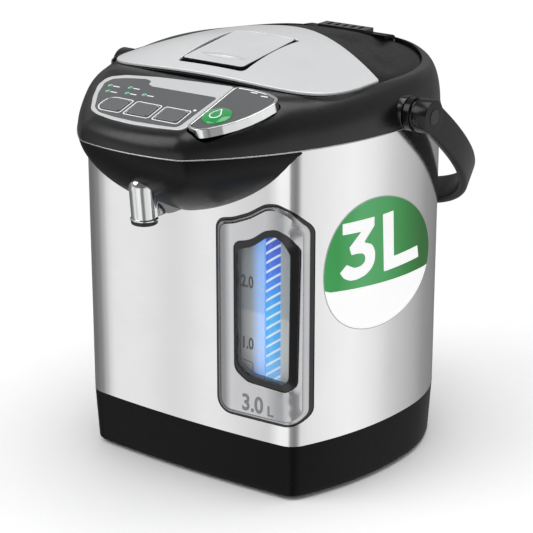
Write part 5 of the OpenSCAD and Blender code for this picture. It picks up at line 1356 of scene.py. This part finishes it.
front = [(x, cover_front(x)) for x in [COVER_TIP * math.sin(math.radians(a)) for a in range(-90, 91, 2)]]
rear = [(2 * k, cover_back(2 * k)) for k in range(42, -43, -1)]
tip = rounded([(84, cover_back(84)), (84, -36), (COVER_TIP, -36),
               (COVER_TIP + 0.1, cover_back(COVER_TIP))], [0.1, 0.1, 0.1, 3.2], 6)
bend = [p for p in tip if p[0] > 84.5 and p[1] > -30]
if bend[0][1] > bend[-1][1]:
    bend.reverse()
COVER_LOOP = front + bend + rear + [(-x, y) for x, y in reversed(bend)]
hole = [(x, LATCH_FRONT[0] + v * math.cos(LATCH_SLOPE)) for x, v in latch_loop]
plate("cover_plate", divided(COVER_LOOP, 4), [divided(hole, 4)], cover_point, -COVER_THICK, 0.0,
      cover_metal, "lid", "cover_silver", ("lid_cover",), bevel=0.7, step=4)

# Release plate: a sheet punched and brushed like the cover, on a black body, with a finger scoop
SCOOP_HALF = 18.0


def scoop_edge(u, front):
    """Front or rear edge of the scoop."""
    bow = 4.0 * (u / SCOOP_HALF) ** 2
    return 9.0 + bow if front else 17.0 - bow


scoop_us = [SCOOP_HALF * (k / 20 - 1) for k in range(41)]
scoop = [(u, scoop_edge(u, True)) for u in scoop_us]
scoop += [(u, scoop_edge(u, False)) for u in scoop_us[-2:0:-1]]
release_edge = rounded(box_loop((0, LATCH_LENGTH / 2), (LATCH_HALF, LATCH_LENGTH / 2)), [3] * 4)
sheet_half = (LATCH_HALF - SHEET_INSET, LATCH_LENGTH / 2 - SHEET_INSET)
sheet_edge = rounded(box_loop((0, LATCH_LENGTH / 2), sheet_half), [2.4] * 4)
plate("release_body", divided(release_edge, 4), [grown(scoop, 0.3)], on_latch, -LATCH_THICK,
      -0.01 - SHEET_THICK, lid_abs, "release", "head_plastic", ("release_plate",), bevel=0.3, step=5)
plate("release_top", divided(sheet_edge, 4), [scoop], on_latch, -SHEET_THICK, 0.0, cover_metal, "release",
      "cover_silver", ("release_plate",), bevel=0.2, step=5)
# depths of the scoop from its steep rear edge to its shallow front one
dip = [(0.0, 0.0), (0.03, 1.3), (0.1, 1.75), (0.2, 1.85), (0.35, 1.6), (0.5, 1.2), (0.65, 0.75),
       (0.8, 0.35), (0.9, 0.12), (1.0, 0.0)]
rings = []
for t, d in dip:
    ring = []
    for u in scoop_us:
        a, b = scoop_edge(u, False), scoop_edge(u, True)
        ring.append(on_latch(u, a + (b - a) * t, -d * math.sqrt(max(0.0, 1 - (u / SCOOP_HALF) ** 2))))
    rings.append(ring)
skin("release_scoop", rings, cover_metal, "release", crease=50, closed=False)

# Ridge over the hinge, moulded with the lid, and the ridged cap of the steam vent
HUMP_HALF = 34.0
hump = [(-12, -1), (1, -1), (2.2, -0.4), (2.6, 0.6), (2.5, 1.8), (2.0, 3.2), (1.2, 4.0), (0, 4.6),
        (-1.6, 5.0), (-4, 5.3), (-8, 5.7), (-12, 6)]
rings = []
for x, inset in ((-HUMP_HALF, 1.0), (-HUMP_HALF + 0.3, 0.3), (-HUMP_HALF + 1, 0.0), (HUMP_HALF - 1, 0.0),
                 (HUMP_HALF - 0.3, 0.3), (HUMP_HALF, 1.0)):
    shrunk = [(v * (1 - inset / 14) - inset * 0.2, w - inset * max(0, w) / 8) for v, w in hump]
    rings.append([(x, LID_AXIS[0] + v, LID_AXIS[1] + w) for v, w in shrunk])
ends = [tuple(range(len(hump)))[::-1], tuple(5 * len(hump) + k for k in range(len(hump)))]
skin("hinge_ridge", rings, lid_abs, "lid", ends=ends)
dress(gloss_abs, "steam_vent")

# ---- Handle ----------------------------------------------------------------------------------
# One bow of glossy black polypropylene, flat with rounded edges, with a grooved round disc at each
# end that turns on its pin; a small cap closes each disc.

HANDLE_TURN = math.radians(-36)
HANDLE_HALF = 126.5
HANDLE_LONG = 170.0
HANDLE_THICK = 6.3
HANDLE_STRAP = 20.0
HUB_GAP = 0.6
HANDLE_SQUARENESS = 2.3


def on_handle(u, v, w):
    """Point of the hanging handle: u across, v along its strap from the pivots, w out of it."""
    s, c = math.sin(HANDLE_TURN), math.cos(HANDLE_TURN)
    return (u, -PIVOT[0] + v * c - w * s, PIVOT[1] + v * s + w * c)


handle_gloss = finish("gloss_handle_polypropylene", {"IOR": 1.5, "Specular IOR Level": 0.4}, 4.0, 0.008,
                      (0.18, 0.26), ("#060607", "#0a0a0b"))

half = (HANDLE_THICK / 2, HANDLE_STRAP / 2)
section = rounded(box_loop((0, 0), half), [2.4] * 4, 5)
mid = (HANDLE_HALF - half[0], HANDLE_LONG - half[0])


def bow_spot(k):
    """Middle of the strap: a little squarer than an ellipse."""
    a, n = math.pi * k / 120, 2 / HANDLE_SQUARENESS
    c, s = math.cos(a), max(0.0, math.sin(a))
    return Vector((mid[0] * math.copysign(abs(c) ** n, c), mid[1] * s ** n))


rings = []
for k in range(121):
    run = (bow_spot(min(k + 0.5, 120)) - bow_spot(max(k - 0.5, 0))).normalized()
    spot = bow_spot(k)
    rings.append([on_handle(spot.x + run.y * p, spot.y - run.x * p, q) for p, q in section])
ends = [tuple(range(len(section)))[::-1], tuple(120 * len(section) + k for k in range(len(section)))]
skin("handle_bow", rings, handle_gloss, "handle", ("carry_handle",), crease=50,
     ends=ends)
HUB = BOSS_END + HUB_GAP
FACE = HANDLE_HALF
disc = [(3.2, HUB), (10.6, HUB), (11, HUB + 0.4), (11, HUB + 4.2), (10.6, HUB + 4.6), (9.4, HUB + 4.8),
        (9.2, HUB + 5.4), (9.2, HUB + 6.4), (9.4, HUB + 6.9), (10.6, HUB + 7.1), (11, HUB + 7.5),
        (11, FACE - 1.0), (10.7, FACE - 0.3), (10.0, FACE), (5.5, FACE), (5.3, FACE - 0.2),
        (5.3, FACE - 4.0), (3.2, FACE - 4.0)]
for side, name in ((1, "right"), (-1, "left")):
    lathe(f"handle_disc_{name}", disc, lambda x, y, z, s=side: on_handle(s * z, x, y), handle_gloss,
          "handle", ("carry_handle",), n=72)
cap = [(0, FACE - 3.95), (5.15, FACE - 3.95), (5.15, FACE), (4.9, FACE + 0.3), (4.2, FACE + 0.4),
       (0, FACE + 0.4)]
for k, side in enumerate((1, -1)):
    lathe(f"cap_{k}", cap, lambda x, y, z, s=side: on_handle(s * z, x, y), gloss_abs, "handle",
          ("handle_caps",), n=40)

# ---- Sticker ---------------------------------------------------------------------------------
# A round vinyl sticker on the right side, green above and white below, with the capacity in
# plain block characters.

STICKER = (-38.3, 151.0)


def side_spot(u, v, w):
    """Point of the right side: u along its curve from the widest place, v the height, w outwards."""
    a = u / SIDE_RADIUS
    return (HALF_WIDTH - SIDE_RADIUS + (SIDE_RADIUS + w) * math.cos(a), (SIDE_RADIUS + w) * math.sin(a), v)


def sticker_loop(size):
    """Outline of the sticker, a bowed oval, at a share of its size."""
    loop = []
    for k in range(120):
        c, s = math.cos(math.radians(3 * k)), math.sin(math.radians(3 * k))
        loop.append((STICKER[0] + size * (52.15 * c + 9.05 * c * c),
                     STICKER[1] + size * (43.75 * s - 2.3 * c - 3.4 * c * c)))
    return loop


# Printed vinyl under gloss laminate: the green is painted lighter to the left, with a paler band,
# and deep at the right, which is painted sheen and shade across the side
vinyl_green, tree, shader = shaded("green_vinyl_painted_sheen",
                                   {"IOR": 1.5, "Coat Weight": 0.2, "Coat Roughness": 0.1})
colour = texture(tree, shader, 3.0, 0.003, (0.35, 0.42), ("#f2f2f2", "#ffffff"))
where = add(tree, "TexCoord")
axes = add(tree, "SeparateXYZ", links={0: where.outputs["Object"]})
# painted sheen and shade: the green goes from light at the front, through a paler band, to deep at the back
share = add(tree, "MapRange", {"From Min": (-82 + CENTRE_SHIFT) / 1000,
                               "From Max": (24 + CENTRE_SHIFT) / 1000}, {"Value": axes.outputs["Y"]})
shades = add(tree, "ValToRGB", links={0: share})
stops = shades.color_ramp.elements
for position, tone in ((0.12, "#2aa84c"), (0.3, "#58bd72"), (0.5, "#45b260"), (0.72, "#1f9035"),
                       (0.88, "#067216")):
    stops.new(position).color = linear(tone)
stops[0].color = linear("#2fae50")
stops[-1].color = linear("#04700f")
tinted = add(tree, "Mix", {"data_type": "RGBA", "blend_type": "MULTIPLY", 0: 1.0},
             {6: colour.outputs[2], 7: shades})
tree.links.new(tinted.outputs[2], shader.inputs["Base Color"])
# White vinyl that also shines a little by its own emission: painted light, which keeps it white
vinyl_white = finish("white_vinyl_painted_glow", {"IOR": 1.5, "Emission Color": (1, 1, 1, 1),
                                     "Emission Strength": 0.22}, 3.0, 0.003, (0.4, 0.48),
                     ("#fbfbfb", "#ffffff"))
vinyl_edge = finish("cut_vinyl_edge", {"IOR": 1.5}, 2.0, 0.003, (0.45, 0.55), ("#a7a8aa", "#b4b5b7"))
outline = sticker_loop(1.0)
plate("sticker_edge", outline, [], side_spot, 0.02, 0.12, vinyl_edge, "pot", "brushed_shell", bevel=0.05,
      step=5)
plate("sticker_white", sticker_loop(0.988), [], side_spot, 0.12, 0.2, vinyl_white, "pot", "brushed_shell",
      bevel=0.05, step=5)


def parting(u):
    """Line between the sticker's green and its white."""
    t = (u + 79.4) / 100.6
    return 139.7 - 8.2 * t + 2.6 * t * t


upper = [p for p in sticker_loop(0.988) if p[1] > parting(p[0])]
upper.sort(key=lambda p: math.atan2(p[1] - 139, p[0] + 30))
right, left = upper[0], upper[-1]
span = [left[0] + (right[0] - left[0]) * k / 24 for k in range(1, 24)]
green_loop = upper + [(u, parting(u)) for u in span]
plate("sticker_green", green_loop, [], side_spot, 0.2, 0.26, vinyl_green, "pot", "brushed_shell",
      bevel=0.03, step=5)
three = [(-67.3, 182.6), (-67.1, 175.4), (-51.8, 174.8), (-61.6, 166.2), (-59.8, 160.9), (-55.0, 161.0),
         (-49.6, 160.0), (-47.9, 156.8), (-48.6, 153.8), (-52.0, 152.0), (-57.2, 151.7), (-63.6, 155.2),
         (-68.8, 150.8), (-66.0, 146.6), (-60.5, 144.0), (-55.0, 143.7), (-47.5, 145.2), (-42.0, 148.6),
         (-39.4, 153.6), (-39.6, 160.0), (-42.6, 164.6), (-49.6, 167.2), (-40.6, 176.4), (-40.7, 182.3)]
three_round = [0.4, 0.4, 0.4, 0.6, 0.6, 4, 4, 4, 4, 5, 8, 0.6, 0.6, 8, 10, 10, 12, 10, 10, 10, 6, 1.0, 0.4,
               0.4]
ell = [(-32.9, 182.0), (-30.8, 143.3), (7.5, 143.1), (5.8, 151.4), (-21.1, 151.4), (-22.6, 182.2)]
for name, loop in (("sticker_three", rounded(three, three_round, 5)),
                   ("sticker_ell", rounded(ell, [0.4] * 6, 2))):
    plate(name, divided(loop, 2.5), [], side_spot, 0.26, 0.32, vinyl_white, "pot", "brushed_shell",
          bevel=0.03, step=3)
